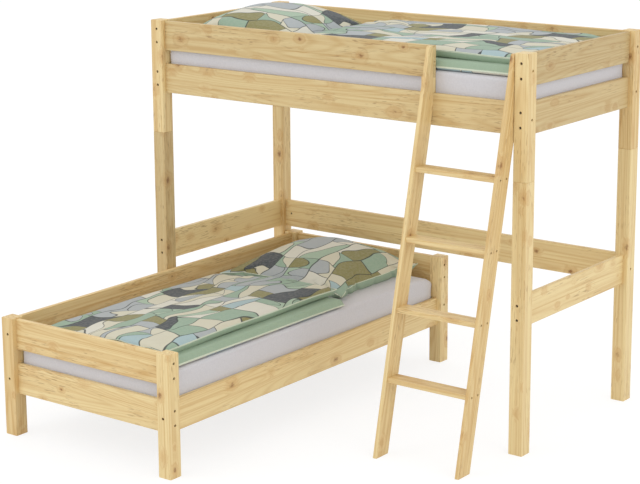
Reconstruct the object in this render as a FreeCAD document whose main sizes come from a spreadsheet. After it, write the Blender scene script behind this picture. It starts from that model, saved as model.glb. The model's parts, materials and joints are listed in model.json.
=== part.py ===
import FreeCAD, Part
import os

import Sketcher

# A corner bunk bed in pine.
# A single bed stands on four leg extensions and becomes the loft bed.
# A second single bed stands on the floor at right angles, its head under the loft.
# A sloping ladder leans on the loft's front rails beside the right post.
# X runs along the loft from its head to its foot, Y runs back, Z runs up.
# The origin is on the floor, in the middle of the whole outline.

Vector = FreeCAD.Vector
doc = FreeCAD.newDocument("corner_bunk_bed")
sheet = doc.addObject("Spreadsheet::Sheet", "sizes")

# Driving sizes in millimetres, and plain counts
DRIVING = (
    ("bed_length", 2100, "outer length of each bed, over the posts"),
    ("bed_width", 990, "outer width of each bed, over the posts"),
    ("post_side", 68, "side of the square posts"),
    ("leg_height", 1208, "height of the leg extensions under the loft"),
    ("post_round", 4, "rounding of the post edges"),
    ("rail_height", 140, "height of every rail"),
    ("rail_thickness", 22, "thickness of every rail"),
    ("rail_inset", 25, "rail face behind the post face"),
    ("rail_round", 3, "rounding of the long rail edges"),
    ("upper_rail_drop", 5, "post top to the top of the upper rails"),
    ("lower_rail_rise", 193, "foot of a single bed to its lower rails"),
    ("rail_space", 66, "lower rails to the upper rails"),
    ("brace_clearance", 24, "top of the low bed to the brace rails between the legs"),
    ("low_bed_shift", 77, "left face of the loft to the left face of the low bed"),
    ("ladder_post_gap", 1.5, "right stile to the right front post"),
    ("ladder_opening", 403, "clear width between the stiles"),
    ("stile_thickness", 18, "thickness of the ladder stiles"),
    ("stile_width", 86, "width of the ladder stiles, square to their slope"),
    ("ladder_reach", 392, "stile front edge before the loft's face, at the floor"),
    ("ladder_top_drop", 6, "loft post top to the top of the stiles"),
    ("stile_top_round", 12, "rounding of the front corner at the stiles' top"),
    ("ladder_screw_drop", 35, "rail top to the screw that holds the ladder"),
    ("ladder_screw_grip", 22, "length of that screw inside the stile"),
    ("first_tread_top", 344, "floor to the top of the lowest tread"),
    ("tread_rise", 298, "height from one tread to the next"),
    ("tread_count", 4, "number of treads"),
    ("tread_thickness", 22, "thickness of the treads"),
    ("tread_depth", 76, "depth of the treads"),
    ("tread_round", 3, "rounding of the tread edges"),
    ("tread_screw_spacing", 46, "distance of the two screws in a tread end"),
    ("guard_block_width", 60, "width of the spacer block under the guard rail's end"),
    ("screw_spacing", 64, "distance of the two screws in an end rail"),
    ("head_recess", 9, "depth of the recess over a screw or bolt head"),
    ("head_diameter", 12, "head of the screws and bolts"),
    ("head_height", 4, "height of the screw and bolt heads"),
    ("screw_diameter", 6.5, "shank of the end rail screws"),
    ("screw_grip", 55, "length of an end screw inside the rail"),
    ("bolt_diameter", 6, "shank of the long rail bolts"),
    ("bolt_grip", 46, "length of a bolt inside the rail"),
    ("nut_diameter", 10, "barrel nut across"),
    ("nut_length", 14, "barrel nut along its axis"),
    ("nut_distance", 36, "rail end to the barrel nut's axis"),
    ("small_screw_diameter", 4, "shank of the tread and ledge screws"),
    ("small_head_diameter", 10, "head of the tread and ledge screws"),
    ("small_head_height", 3, "height of the tread and ledge screw heads"),
    ("small_head_recess", 6, "depth of the recess over a tread screw head"),
    ("tread_screw_grip", 40, "length of a tread screw inside the tread"),
    ("dowel_diameter", 12, "dowels between legs and loft posts"),
    ("dowel_length", 80, "length of those dowels"),
    ("dowel_spacing", 28, "distance of the two dowels in a post"),
    ("fit_gap", 0.3, "clearance of bores round screws, nuts and dowels"),
    ("ledge_height", 30, "height of the slat ledges"),
    ("ledge_thickness", 20, "thickness of the slat ledges"),
    ("ledge_rise", 220, "foot of a single bed to its slat ledges"),
    ("ledge_screw_count", 5, "screws in each ledge"),
    ("ledge_screw_grip", 12, "length of a ledge screw inside the rail"),
    ("slat_count", 13, "slats in each bed"),
    ("slat_width", 70, "width of a slat"),
    ("slat_thickness", 18, "thickness of a slat"),
    ("slat_end_gap", 3, "slat end to rail"),
    ("slat_margin", 12, "first slat to post"),
    ("loft_mattress_thickness", 160, "thickness of the loft bed's mattress"),
    ("low_mattress_thickness", 180, "thickness of the low bed's mattress"),
    ("mattress_round", 16, "rounding of the mattress edges"),
    ("soft_gap", 0.3, "gap round each soft piece"),
    ("soft_sink", 5, "depth cut off flat under a pillow or duvet"),
    ("cut_overrun", 10, "overrun of that cut past the piece"),
    ("pillow_length", 720, "pillow along the bed"),
    ("pillow_height", 160, "pillow at its crown"),
    ("pillow_side_gap", 48, "pillow to the mattress edge on either side"),
    ("duvet_side_gap", 13, "duvet's fold to the mattress edge"),
    ("duvet_foot_gap", 25, "foot of the duvet to the mattress edge"),
    ("duvet_height", 92, "folded duvet at its crown"),
    ("duvet_end_gap", 10, "pillow to duvet"),
    ("duvet_head_setback", 90, "upper duvet layer behind the lower layer's edge, at the head"),
    ("duvet_foot_setback", 38, "the same at the foot end"),
    ("duvet_nose", 16, "roundness of the open duvet edges"),
    ("duvet_notch", 45, "depth of the gap between the two duvet layers"),
    ("duvet_fold_round", 34, "roundness of the duvet's fold"),
)

# Sizes that follow from the driving ones
DERIVED = (
    ("loft_left", "=-bed_length / 2"),
    ("loft_front", "=bed_length / 2 - bed_width"),
    ("low_left", "=-bed_length / 2 + low_bed_shift"),
    ("low_front", "=-bed_length / 2"),
    ("upper_rail_rise", "=lower_rail_rise + rail_height + rail_space"),
    ("post_height", "=upper_rail_rise + rail_height + upper_rail_drop"),
    ("brace_rise", "=post_height + brace_clearance"),
    ("rail_reach", "=rail_inset + rail_thickness"),
    ("rail_axis", "=rail_inset + rail_thickness / 2"),
    ("ledge_top", "=ledge_rise + ledge_height"),
    ("mattress_foot", "=ledge_top + slat_thickness"),
    ("loft_mattress_top", "=mattress_foot + loft_mattress_thickness"),
    ("low_mattress_top", "=mattress_foot + low_mattress_thickness"),
    ("mattress_length", "=bed_length - 2 * rail_reach - 2 * soft_gap"),
    ("mattress_width", "=bed_width - 2 * rail_reach - 2 * soft_gap"),
    ("pillow_width", "=mattress_width - 2 * pillow_side_gap"),
    ("duvet_width", "=mattress_width - duvet_side_gap"),
    ("duvet_length", "=mattress_length - pillow_length - duvet_end_gap - duvet_foot_gap"),
    ("mattress_corner", "=(post_side - rail_reach) / (1 - sqrt(1 / 2)) + post_round"),
    ("ladder_top", "=leg_height + post_height - ladder_top_drop"),
    ("ladder_slope", "=ladder_reach / ladder_top"),
    ("stile_run", "=stile_width * sqrt(1 + ladder_slope ^ 2)"),
    ("stile_contact", "=(ladder_reach + rail_inset - stile_run) / ladder_slope"),
    ("right_stile_x", "=bed_length / 2 - post_side - ladder_post_gap - stile_thickness"),
    ("left_stile_x", "=right_stile_x - ladder_opening - stile_thickness"),
    ("guard_end", "=left_stile_x + stile_thickness"),
)

X_AXIS = Vector(1, 0, 0)
Y_AXIS = Vector(0, 1, 0)
Z_AXIS = Vector(0, 0, 1)
QUARTER_TURN = 90
ORIGIN_INDEX = -1
START_INDEX = 1
END_INDEX = 2
CENTRE_INDEX = 3

parts = []


def fill_sheet():
    """Write every driving size as text with its name, then the derived ones."""
    row = 1
    for name, value, note in DRIVING:
        sheet.set("A" + str(row), name)
        sheet.set("B" + str(row), str(value))
        sheet.set("C" + str(row), note)
        sheet.setAlias("B" + str(row), name)
        row += 1
    for name, formula in DERIVED:
        sheet.set("A" + str(row), name)
        sheet.set("B" + str(row), formula)
        sheet.setAlias("B" + str(row), name)
        row += 1
    doc.recompute()


def number(text):
    """The value of a formula over the sheet, as a plain number."""
    value = sheet.evalExpression(with_sheet(text))
    return float(getattr(value, "Value", value))


def with_sheet(text):
    """Put the sheet's name before each size name in a formula."""
    words = text.replace("(", " ( ").replace(")", " ) ").split()
    names = {entry[0] for entry in DRIVING} | {entry[0] for entry in DERIVED}
    return " ".join("sizes." + word if word in names else word for word in words)


def place(part, x, y, z, turn=0):
    """Bind a part's position to formulas, turned about Z."""
    part.Placement = FreeCAD.Placement(Vector(0, 0, 0), FreeCAD.Rotation(Z_AXIS, turn))
    for axis, text in (("x", x), ("y", y), ("z", z)):
        part.setExpression("Placement.Base." + axis, with_sheet(text))


def new_body(label, x, y, z, turn=0):
    """A named body at a position given by formulas."""
    body = doc.addObject("PartDesign::Body", label)
    body.Label = label
    place(body, x, y, z, turn)
    parts.append(body)
    return body


def origin_plane(body, role):
    """The body's own origin plane with the given role."""
    for feature in body.Origin.OriginFeatures:
        if feature.Role == role:
            return feature
    raise ValueError("no origin plane " + role)


def new_sketch(body, name, role, offset="0"):
    """An empty sketch on an origin plane, moved along the plane's normal."""
    sketch = body.newObject("Sketcher::SketchObject", body.Label + "_" + name)
    sketch.AttachmentSupport = [(origin_plane(body, role), "")]
    sketch.MapMode = "FlatFace"
    sketch.setExpression("AttachmentOffset.Base.z", with_sheet(offset))
    return sketch


def bind(sketch, constraint, name, text):
    """Add a named constraint and bind it to a formula."""
    index = sketch.addConstraint(constraint)
    sketch.renameConstraint(index, name)
    sketch.setExpression("Constraints." + name, with_sheet(text))


def draw_outline(sketch, corners):
    """A closed outline of straight lines through corners given by formulas."""
    points = [Vector(number(x), number(y), 0) for x, y in corners]
    count = len(points)
    for index in range(count):
        line = Part.LineSegment(points[index], points[(index + 1) % count])
        sketch.addGeometry(line, False)
    for index in range(count):
        following = (index + 1) % count
        join = Sketcher.Constraint("Coincident", index, END_INDEX, following, START_INDEX)
        sketch.addConstraint(join)
    for index, (x, y) in enumerate(corners):
        for kind, text, letter in (("DistanceX", x, "x"), ("DistanceY", y, "y")):
            distance = Sketcher.Constraint(
                kind, ORIGIN_INDEX, START_INDEX, index, START_INDEX, number(text))
            bind(sketch, distance, "corner" + str(index) + letter, text)


def draw_circles(sketch, centres, diameter):
    """Circles of one diameter round centres given by formulas."""
    for index, (x, y) in enumerate(centres):
        centre = Vector(number(x), number(y), 0)
        sketch.addGeometry(Part.Circle(centre, Z_AXIS, number(diameter) / 2), False)
        size = Sketcher.Constraint("Diameter", index, number(diameter))
        bind(sketch, size, "across" + str(index), diameter)
        for kind, text, letter in (("DistanceX", x, "x"), ("DistanceY", y, "y")):
            distance = Sketcher.Constraint(
                kind, ORIGIN_INDEX, START_INDEX, index, CENTRE_INDEX, number(text))
            bind(sketch, distance, "centre" + str(index) + letter, text)


def pad(body, sketch, length):
    """Raise a sketch to a solid."""
    feature = body.newObject("PartDesign::Pad", body.Label + "_pad")
    feature.Profile = sketch
    feature.setExpression("Length", with_sheet(length))
    sketch.Visibility = False
    doc.recompute()
    body.Tip = feature
    return feature


def pocket(body, sketch, depth, along_normal):
    """Cut a sketch into the solid to a depth, along or against its normal."""
    feature = body.newObject("PartDesign::Pocket", sketch.Name + "_cut")
    feature.Profile = sketch
    feature.Type = "Length"
    feature.Reversed = along_normal
    feature.setExpression("Length", with_sheet(depth))
    sketch.Visibility = False
    body.Tip = feature
    return feature


def round_edges(body, base, radius, wanted):
    """Round the edges for which the test holds."""
    edges = base.Shape.Edges
    names = ["Edge" + str(index + 1) for index, edge in enumerate(edges) if wanted(edge)]
    feature = body.newObject("PartDesign::Fillet", body.Label + "_round")
    feature.Base = (base, names)
    feature.setExpression("Radius", with_sheet(radius))
    doc.recompute()
    body.Tip = feature
    return feature


PARALLEL_SHARE = 0.9998


def edge_runs(edge, axis):
    """True when a straight edge runs along the axis."""
    start, end = edge.Vertexes[0].Point, edge.Vertexes[-1].Point
    length = (end - start).Length
    return length > 0 and abs((end - start).dot(axis)) > length * PARALLEL_SHARE


def edge_height(edge):
    """Height of an edge's middle."""
    return edge.BoundBox.Center.z


def block(label, x, y, z, size_x, size_y, size_z, turn=0):
    """A plain block from a padded rectangle."""
    body = new_body(label, x, y, z, turn)
    sketch = new_sketch(body, "outline", "XY_Plane")
    draw_outline(sketch, (("0", "0"), (size_x, "0"), (size_x, size_y), ("0", size_y)))
    return body, pad(body, sketch, size_z)


# Bores for the fasteners

def bore(body, name, axis, centres, diameter, depth, far_side="0"):
    """Bores along local X or Y; far_side is the face they start from, if not zero."""
    role = "YZ_Plane" if axis == "x" else "XZ_Plane"
    from_far = far_side != "0"
    offset = far_side
    if axis == "y" and from_far:
        offset = "-1 * (" + far_side + ")"
    sketch = new_sketch(body, name, role, offset)
    draw_circles(sketch, centres, diameter)
    along_normal = (axis == "x") != from_far
    return pocket(body, sketch, depth, along_normal)


def recessed_bores(body, name, axis, centres, from_far, shank):
    """A shank bore right through a post, with a wider recess on its outer face."""
    side = "post_side" if from_far else "0"
    bore(body, name + "_shank", axis, centres, shank + " + 2 * fit_gap", "post_side", side)
    bore(body, name + "_recess", axis, centres, "head_diameter + 2 * fit_gap",
         "head_recess", side)


def pair_heights(middle):
    """Heights of the two screws of an end rail round its middle."""
    return [middle + " - screw_spacing / 2", middle + " + screw_spacing / 2"]


# Posts and legs

def add_post(label, frame, side_x, side_y, foot, height, rails, bolt_rails):
    """One post; side_x is left or right, side_y is front or back."""
    right = side_x == "right"
    back = side_y == "back"
    x = frame["left"] + (" + " + frame["size_x"] + " - post_side" if right else "")
    y = frame["front"] + (" + " + frame["size_y"] + " - post_side" if back else "")
    body, solid = block(label, x, y, foot, "post_side", "post_side", height)
    top = number(height)
    on_post = number("post_side") / 2
    round_edges(body, solid, "post_round",
                lambda edge: edge_runs(edge, Z_AXIS) or edge_height(edge) > top - on_post)
    column_x = "post_side - rail_axis" if right else "rail_axis"
    column_y = "post_side - rail_axis" if back else "rail_axis"
    pairs = [height_text for middle in rails for height_text in pair_heights(middle)]
    screw_axis, bolt_axis = ("y", "x") if frame["long"] == "x" else ("x", "y")
    columns = {"x": (column_y, right), "y": (column_x, back)}
    column, far = columns[screw_axis]
    recessed_bores(body, "screw", screw_axis, [(column, z) for z in pairs], far,
                   "screw_diameter")
    if bolt_rails:
        column, far = columns[bolt_axis]
        recessed_bores(body, "bolt", bolt_axis, [(column, z) for z in bolt_rails], far,
                       "bolt_diameter")
    return body


def bore_dowels(body, start, along_normal):
    """Two upright dowel bores in the middle of a post's end."""
    sketch = new_sketch(body, "dowels", "XY_Plane", start)
    centres = (("post_side / 2 - dowel_spacing / 2", "post_side / 2 - dowel_spacing / 2"),
               ("post_side / 2 + dowel_spacing / 2", "post_side / 2 + dowel_spacing / 2"))
    draw_circles(sketch, centres, "dowel_diameter + 2 * fit_gap")
    pocket(body, sketch, "dowel_length / 2 + fit_gap", along_normal)


# Rails

screws = {"loft": [], "low": []}
bolts = {"loft": [], "low": []}
nuts = {"loft": [], "low": []}


def note_end_screws(group, end, outward, middle):
    """Remember the two screws that hold one end of an end rail."""
    spread = number("screw_spacing") / 2
    for sign in (-1, 1):
        point = Vector(end.x, end.y, middle + sign * spread)
        screws[group].append((point, outward))


def note_bolt(group, end, outward, middle):
    """Remember the bolt and the barrel nut at one end of a long rail."""
    point = Vector(end.x, end.y, middle)
    bolts[group].append((point, outward))
    nuts[group].append((point - outward * number("nut_distance"), outward))


def rail_board(label, x, y, z, length, turn):
    """A rail blank with rounded long edges; local X runs along it."""
    body, solid = block(label, x, y, z, length, "rail_thickness", "rail_height", turn)
    round_edges(body, solid, "rail_round", lambda edge: edge_runs(edge, X_AXIS))
    return body


def bore_rail_end(body, end, length, joint, nut_face):
    """Bores in one end of a rail for its screws or its bolt and barrel nut."""
    far = length if end == "far" else "0"
    across = "rail_thickness / 2"
    if joint == "screws":
        centres = [(across, z) for z in pair_heights("rail_height / 2")]
        bore(body, "screws_" + end, "x", centres, "screw_diameter + 2 * fit_gap",
             "screw_grip + fit_gap", far)
        return
    bore(body, "bolt_" + end, "x", [(across, "rail_height / 2")],
         "bolt_diameter + 2 * fit_gap", "bolt_grip + fit_gap", far)
    nut_x = length + " - nut_distance" if end == "far" else "nut_distance"
    start = "rail_thickness" if nut_face == "far" else "0"
    bore(body, "nut_" + end, "y", [(nut_x, "rail_height / 2")],
         "nut_diameter + 2 * fit_gap", "rail_thickness / 2 + nut_length / 2 + fit_gap", start)


def add_rail(label, frame, side, rise, joint):
    """A rail between two posts of a frame on the given side."""
    along_x = side in ("front", "back")
    size = frame["size_x"] if along_x else frame["size_y"]
    length = size + " - 2 * post_side"
    z = frame["foot"] + " + " + rise
    middle = number(z + " + rail_height / 2")
    if along_x:
        x = frame["left"] + " + post_side"
        y = frame["front"] + " + rail_inset"
        if side == "back":
            y = frame["front"] + " + " + frame["size_y"] + " - rail_reach"
        turn = 0
        nut_face = "far" if side == "front" else "near"
        near = Vector(number(x), number(y + " + rail_thickness / 2"), 0)
        along = X_AXIS
    else:
        x = frame["left"] + " + rail_reach"
        if side == "right":
            x = frame["left"] + " + " + frame["size_x"] + " - rail_inset"
        y = frame["front"] + " + post_side"
        turn = QUARTER_TURN
        nut_face = "near" if side == "left" else "far"
        near = Vector(number(x + " - rail_thickness / 2"), number(y), 0)
        along = Y_AXIS
    body = rail_board(label, x, y, z, length, turn)
    far_end = near + along * number(length)
    for end, point, outward in (("near", near, along * -1), ("far", far_end, along)):
        bore_rail_end(body, end, length, joint, nut_face)
        if joint == "screws":
            note_end_screws(frame["name"], point, outward, middle)
        else:
            note_bolt(frame["name"], point, outward, middle)
    return body


LOFT = {"name": "loft", "left": "loft_left", "front": "loft_front", "foot": "leg_height",
        "size_x": "bed_length", "size_y": "bed_width", "long": "x"}
LEGS = {"name": "loft", "left": "loft_left", "front": "loft_front", "foot": "0",
        "size_x": "bed_length", "size_y": "bed_width", "long": "x"}
LOW = {"name": "low", "left": "low_left", "front": "low_front", "foot": "0",
       "size_x": "bed_width", "size_y": "bed_length", "long": "y"}

UPPER_MIDDLE = "upper_rail_rise + rail_height / 2"
LOWER_MIDDLE = "lower_rail_rise + rail_height / 2"
BRACE_MIDDLE = "brace_rise + rail_height / 2"
BLOCK_FOOT = "leg_height + lower_rail_rise + rail_height"
CORNERS = (("left", "front"), ("right", "front"), ("left", "back"), ("right", "back"))


def build_loft_frame():
    """Posts, leg extensions, rails and braces of the loft bed."""
    for side_x, side_y in CORNERS:
        corner = side_y + "_" + side_x
        post = add_post("loft_post_" + corner, LOFT, side_x, side_y, "leg_height",
                        "post_height", [UPPER_MIDDLE, LOWER_MIDDLE],
                        [UPPER_MIDDLE, LOWER_MIDDLE])
        bore_dowels(post, "0", True)
        braces = [BRACE_MIDDLE] if side_y == "back" else []
        leg = add_leg("loft_leg_" + corner, side_x, side_y, braces)
        bore_dowels(leg, "leg_height", False)
    for side in ("back", "left", "right"):
        joint = "bolt" if side == "back" else "screws"
        add_rail("loft_upper_rail_" + side, LOFT, side, "upper_rail_rise", joint)
        add_rail("brace_rail_" + side, LEGS, side, "brace_rise", joint)
    for side in ("front", "back", "left", "right"):
        joint = "bolt" if side in ("front", "back") else "screws"
        add_rail("loft_lower_rail_" + side, LOFT, side, "lower_rail_rise", joint)


def add_leg(label, side_x, side_y, brace_bolts):
    """A leg extension; its rounded top edges leave a fine groove under the loft post."""
    frame = LEGS
    right = side_x == "right"
    back = side_y == "back"
    x = frame["left"] + (" + " + frame["size_x"] + " - post_side" if right else "")
    y = frame["front"] + (" + " + frame["size_y"] + " - post_side" if back else "")
    body, solid = block(label, x, y, "0", "post_side", "post_side", "leg_height")
    near_top = number("leg_height - post_side / 2")
    round_edges(body, solid, "post_round",
                lambda edge: edge_runs(edge, Z_AXIS) or edge_height(edge) > near_top)
    column_x = "post_side - rail_axis" if right else "rail_axis"
    column_y = "post_side - rail_axis" if back else "rail_axis"
    pairs = [(column_x, z) for z in pair_heights(BRACE_MIDDLE)]
    recessed_bores(body, "screw", "y", pairs, back, "screw_diameter")
    if brace_bolts:
        recessed_bores(body, "bolt", "x", [(column_y, z) for z in brace_bolts], right,
                       "bolt_diameter")
    return body


def build_guard_rail():
    """The front guard rail, cut short at the ladder, and its spacer block."""
    x = "loft_left + post_side"
    y = "loft_front + rail_inset"
    length = "guard_end - loft_left - post_side"
    z = "leg_height + upper_rail_rise"
    body = rail_board("loft_guard_rail_front", x, y, z, length, 0)
    bore_rail_end(body, "near", length, "bolt", "far")
    bore(body, "spare", "x", [("rail_thickness / 2", "rail_height / 2")],
         "bolt_diameter + 2 * fit_gap", "bolt_grip + fit_gap", length)
    end = Vector(number(x), number(y + " + rail_thickness / 2"), 0)
    note_bolt("loft", end, X_AXIS * -1, number(z + " + rail_height / 2"))
    block("guard_spacer_block", "guard_end - guard_block_width", y, BLOCK_FOOT,
          "guard_block_width", "rail_thickness",
          "rail_space")


def build_low_frame():
    """Posts and rails of the low bed; its right side has no upper rail."""
    for side_x, side_y in CORNERS:
        end = "foot" if side_y == "front" else "head"
        bolt_rails = [LOWER_MIDDLE] if side_x == "right" else [UPPER_MIDDLE, LOWER_MIDDLE]
        add_post("low_post_" + end + "_" + side_x, LOW, side_x, side_y, "0", "post_height",
                 [UPPER_MIDDLE, LOWER_MIDDLE], bolt_rails)
    for side, end in (("front", "foot"), ("back", "head")):
        add_rail("low_upper_rail_" + end, LOW, side, "upper_rail_rise", "screws")
        add_rail("low_lower_rail_" + end, LOW, side, "lower_rail_rise", "screws")
    add_rail("low_upper_rail_left", LOW, "left", "upper_rail_rise", "bolt")
    for side in ("left", "right"):
        add_rail("low_lower_rail_" + side, LOW, side, "lower_rail_rise", "bolt")


# Slat ledges and slats

ledge_screws = {"loft": [], "low": []}


def add_ledge(label, frame, side):
    """A ledge strip on the inner face of a long rail, with its screw bores."""
    along_x = frame["long"] == "x"
    length = "bed_length - 2 * post_side"
    z = frame["foot"] + " + ledge_rise"
    low_side = side in ("front", "left")
    if along_x:
        x = frame["left"] + " + post_side"
        y = frame["front"] + " + rail_reach"
        if not low_side:
            y = frame["front"] + " + " + frame["size_y"] + " - rail_reach - ledge_thickness"
        turn = 0
        inner_far = low_side
    else:
        x = frame["left"] + " + rail_reach + ledge_thickness"
        if not low_side:
            x = frame["left"] + " + " + frame["size_x"] + " - rail_reach"
        y = frame["front"] + " + post_side"
        turn = QUARTER_TURN
        inner_far = not low_side
    body, _ = block(label, x, y, z, length, "ledge_thickness", "ledge_height", turn)
    count = int(number("ledge_screw_count"))
    places = []
    for index in range(count):
        share = (index + 1 / 2) / count
        places.append("( " + length + " ) * " + str(share))
    centres = [(text, "ledge_height / 2") for text in places]
    start = "ledge_thickness" if inner_far else "0"
    bore(body, "shank", "y", centres, "small_screw_diameter + 2 * fit_gap",
         "ledge_thickness", start)
    bore(body, "head", "y", centres, "small_head_diameter + 2 * fit_gap",
         "small_head_height + fit_gap", start)
    return body, places, inner_far


def note_ledge_screws(frame, body, places, inner_far):
    """Remember the screws of one ledge, pointing from the bed's middle to the rail."""
    doc.recompute()
    across = number("ledge_thickness") if inner_far else 0
    middle = number("ledge_height / 2")
    turn = body.Placement.Rotation
    outward = turn.multVec(Y_AXIS) * (1 if inner_far else -1)
    for text in places:
        point = body.Placement.multVec(Vector(number(text), across, middle))
        ledge_screws[frame["name"]].append((point, outward))


def bore_rail_for_ledge(rail, places, side_far):
    """Pilot bores in the rail behind a ledge, from the rail's inner face."""
    height = "ledge_rise - lower_rail_rise + ledge_height / 2"
    start = "rail_thickness" if side_far else "0"
    bore(rail, "ledge", "y", [(text, height) for text in places],
         "small_screw_diameter + 2 * fit_gap", "ledge_screw_grip + fit_gap", start)


def build_slats(frame):
    """The slats of one bed, as a group of separate solids."""
    name = frame["name"]
    foot = number(frame["foot"])
    left = number(frame["left"])
    front = number(frame["front"])
    length = number("bed_length")
    width = number("slat_width")
    inner = number("rail_reach")
    start = number("post_side + slat_margin")
    count = int(number("slat_count"))
    pitch = (length - 2 * start - width) / (count - 1)
    slat_span = number("bed_width - 2 * rail_reach - 2 * slat_end_gap")
    low_z = foot + number("ledge_top")
    across = inner + number("slat_end_gap")
    slats = []
    for index in range(count):
        along = start + pitch * index
        slats.append(bed_box(frame, left, front, along, across, low_z,
                             width, slat_span, number("slat_thickness")))
    add_group(name + "_slats", slats)


def bed_box(frame, left, front, along, across, z, size_along, size_across, size_z):
    """A box given along and across a bed."""
    if frame["long"] == "x":
        corner = Vector(left + along, front + across, z)
        return Part.makeBox(size_along, size_across, size_z, corner)
    corner = Vector(left + across, front + along, z)
    return Part.makeBox(size_across, size_along, size_z, corner)


def add_group(label, solids):
    """Several equal separate solids under one name."""
    group = doc.addObject("Part::Feature", label)
    group.Label = label
    group.Shape = Part.makeCompound(solids)
    group.Placement = FreeCAD.Placement()
    parts.append(group)
    return group


def build_slat_base(frame, sides):
    """Ledges, slats and ledge screws of one bed."""
    for side in sides:
        label = frame["name"] + "_ledge_" + side
        body, places, inner_far = add_ledge(label, frame, side)
        note_ledge_screws(frame, body, places, inner_far)
        rail = doc.getObject(frame["name"] + "_lower_rail_" + side)
        bore_rail_for_ledge(rail, places, inner_far)
    build_slats(frame)


# Ladder

tread_screws = []
fixing_screws = []


def tread_front(index):
    """Formula for a tread's front edge before the loft's front face."""
    return tread_top(index) + " * ladder_slope - ladder_reach + ( stile_run - tread_depth ) / 2"


def tread_top(index):
    """Formula for a tread's top."""
    return "( first_tread_top + tread_rise * " + str(index) + " )"


def build_stile(label, x, outer_far):
    """A ladder stile: sloping, cut level at floor and top, upright where it leans."""
    body = new_body(label, x, "loft_front - ladder_reach", "0")
    sketch = new_sketch(body, "outline", "YZ_Plane")
    lean = "ladder_reach + rail_inset"
    corners = (("0", "0"), ("stile_run", "0"), (lean, "stile_contact"),
               (lean, "ladder_top"), ("ladder_reach", "ladder_top"))
    draw_outline(sketch, corners)
    solid = pad(body, sketch, "stile_thickness")
    top = number("ladder_top")
    reach = number("ladder_reach")
    near = number("fit_gap")
    round_edges(body, solid, "stile_top_round",
                lambda edge: edge_runs(edge, X_AXIS)
                and abs(edge_height(edge) - top) < near
                and abs(edge.BoundBox.Center.y - reach) < near)
    centres = []
    for index in range(int(number("tread_count"))):
        middle = tread_top(index) + " - tread_thickness / 2"
        edge = tread_front(index) + " + ladder_reach + tread_depth / 2"
        for sign in (" - ", " + "):
            centres.append((edge + sign + "tread_screw_spacing / 2", middle))
    side = "stile_thickness" if outer_far else "0"
    bore(body, "shank", "x", centres, "small_screw_diameter + 2 * fit_gap",
         "stile_thickness", side)
    bore(body, "head", "x", centres, "small_head_diameter + 2 * fit_gap",
         "small_head_recess + small_head_height", side)
    for y, z in centres:
        start_x = number(x + (" + stile_thickness" if outer_far else ""))
        point = Vector(start_x, number("loft_front - ladder_reach + " + y), number(z))
        tread_screws.append((point, X_AXIS * (-1 if outer_far else 1)))
    return body


def fix_stile(stile, x, holders):
    """Screws from inside the bed through each holder into the stile's back edge."""
    middle = x + " + stile_thickness / 2"
    heights = [z for _, z in holders]
    pilots = [("stile_thickness / 2", z) for z in heights]
    bore(stile, "fixing", "y", pilots, "small_screw_diameter + 2 * fit_gap",
         "ladder_screw_grip + fit_gap", "ladder_reach + rail_inset")
    doc.recompute()
    for holder, z in holders:
        origin = holder.Placement.Base
        across = number(middle) - origin.x
        drill_holder(holder, stile.Label, middle, z)
        inner = origin.y + number("rail_thickness")
        fixing_screws.append((Vector(origin.x + across, inner, number(z)), Y_AXIS * -1))


def drill_holder(holder, name, middle, z):
    """A countersunk through bore in a rail or block, from its inner face."""
    start_x, start_z = holder_start(holder)
    centres = [(middle + " - ( " + start_x + " )", z + " - ( " + start_z + " )")]
    bore(holder, name + "_shank", "y", centres, "small_screw_diameter + 2 * fit_gap",
         "rail_thickness", "rail_thickness")
    bore(holder, name + "_head", "y", centres, "small_head_diameter + 2 * fit_gap",
         "small_head_height + fit_gap", "rail_thickness")


def holder_start(holder):
    """Formulas for the left end and the foot of a rail or block that holds a stile."""
    starts = {
        "loft_lower_rail_front": ("loft_left + post_side", "leg_height + lower_rail_rise"),
        "loft_guard_rail_front": ("loft_left + post_side", "leg_height + upper_rail_rise"),
        "guard_spacer_block": ("guard_end - guard_block_width", BLOCK_FOOT),
    }
    return starts[holder.Label]


def fix_ladder(left_stile, right_stile):
    """Screw the left stile to both rails and the block, the right one to the lower rail."""
    lower = doc.getObject("loft_lower_rail_front")
    guard = doc.getObject("loft_guard_rail_front")
    spacer = doc.getObject("guard_spacer_block")
    lower_z = BLOCK_FOOT + " - ladder_screw_drop"
    guard_z = "leg_height + post_height - upper_rail_drop - ladder_screw_drop"
    block_z = "leg_height + ( lower_rail_rise + rail_height + upper_rail_rise ) / 2"
    fix_stile(left_stile, "left_stile_x",
              [(lower, lower_z), (spacer, block_z), (guard, guard_z)])
    fix_stile(right_stile, "right_stile_x", [(lower, lower_z)])


def build_treads():
    """Level treads between the stiles, with pilot bores in their ends."""
    for index in range(int(number("tread_count"))):
        label = "ladder_tread_" + str(index + 1)
        y = "loft_front + " + tread_front(index)
        z = tread_top(index) + " - tread_thickness"
        body, solid = block(label, "left_stile_x + stile_thickness", y, z,
                            "ladder_opening", "tread_depth", "tread_thickness")
        round_edges(body, solid, "tread_round", lambda edge: edge_runs(edge, X_AXIS))
        centres = [("tread_depth / 2 - tread_screw_spacing / 2", "tread_thickness / 2"),
                   ("tread_depth / 2 + tread_screw_spacing / 2", "tread_thickness / 2")]
        for name, far in (("left", "0"), ("right", "ladder_opening")):
            bore(body, name, "x", centres, "small_screw_diameter + 2 * fit_gap",
                 "tread_screw_grip + fit_gap", far)


# Fasteners

def headed_pin(seat, inward, shank_diameter, shank_length, head_diameter, head_height):
    """A round head standing on its seat and a shank going in."""
    head = Part.makeCylinder(head_diameter / 2, head_height, seat, inward * -1)
    shank = Part.makeCylinder(shank_diameter / 2, shank_length, seat, inward)
    return head.fuse(shank).removeSplitter()


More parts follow.
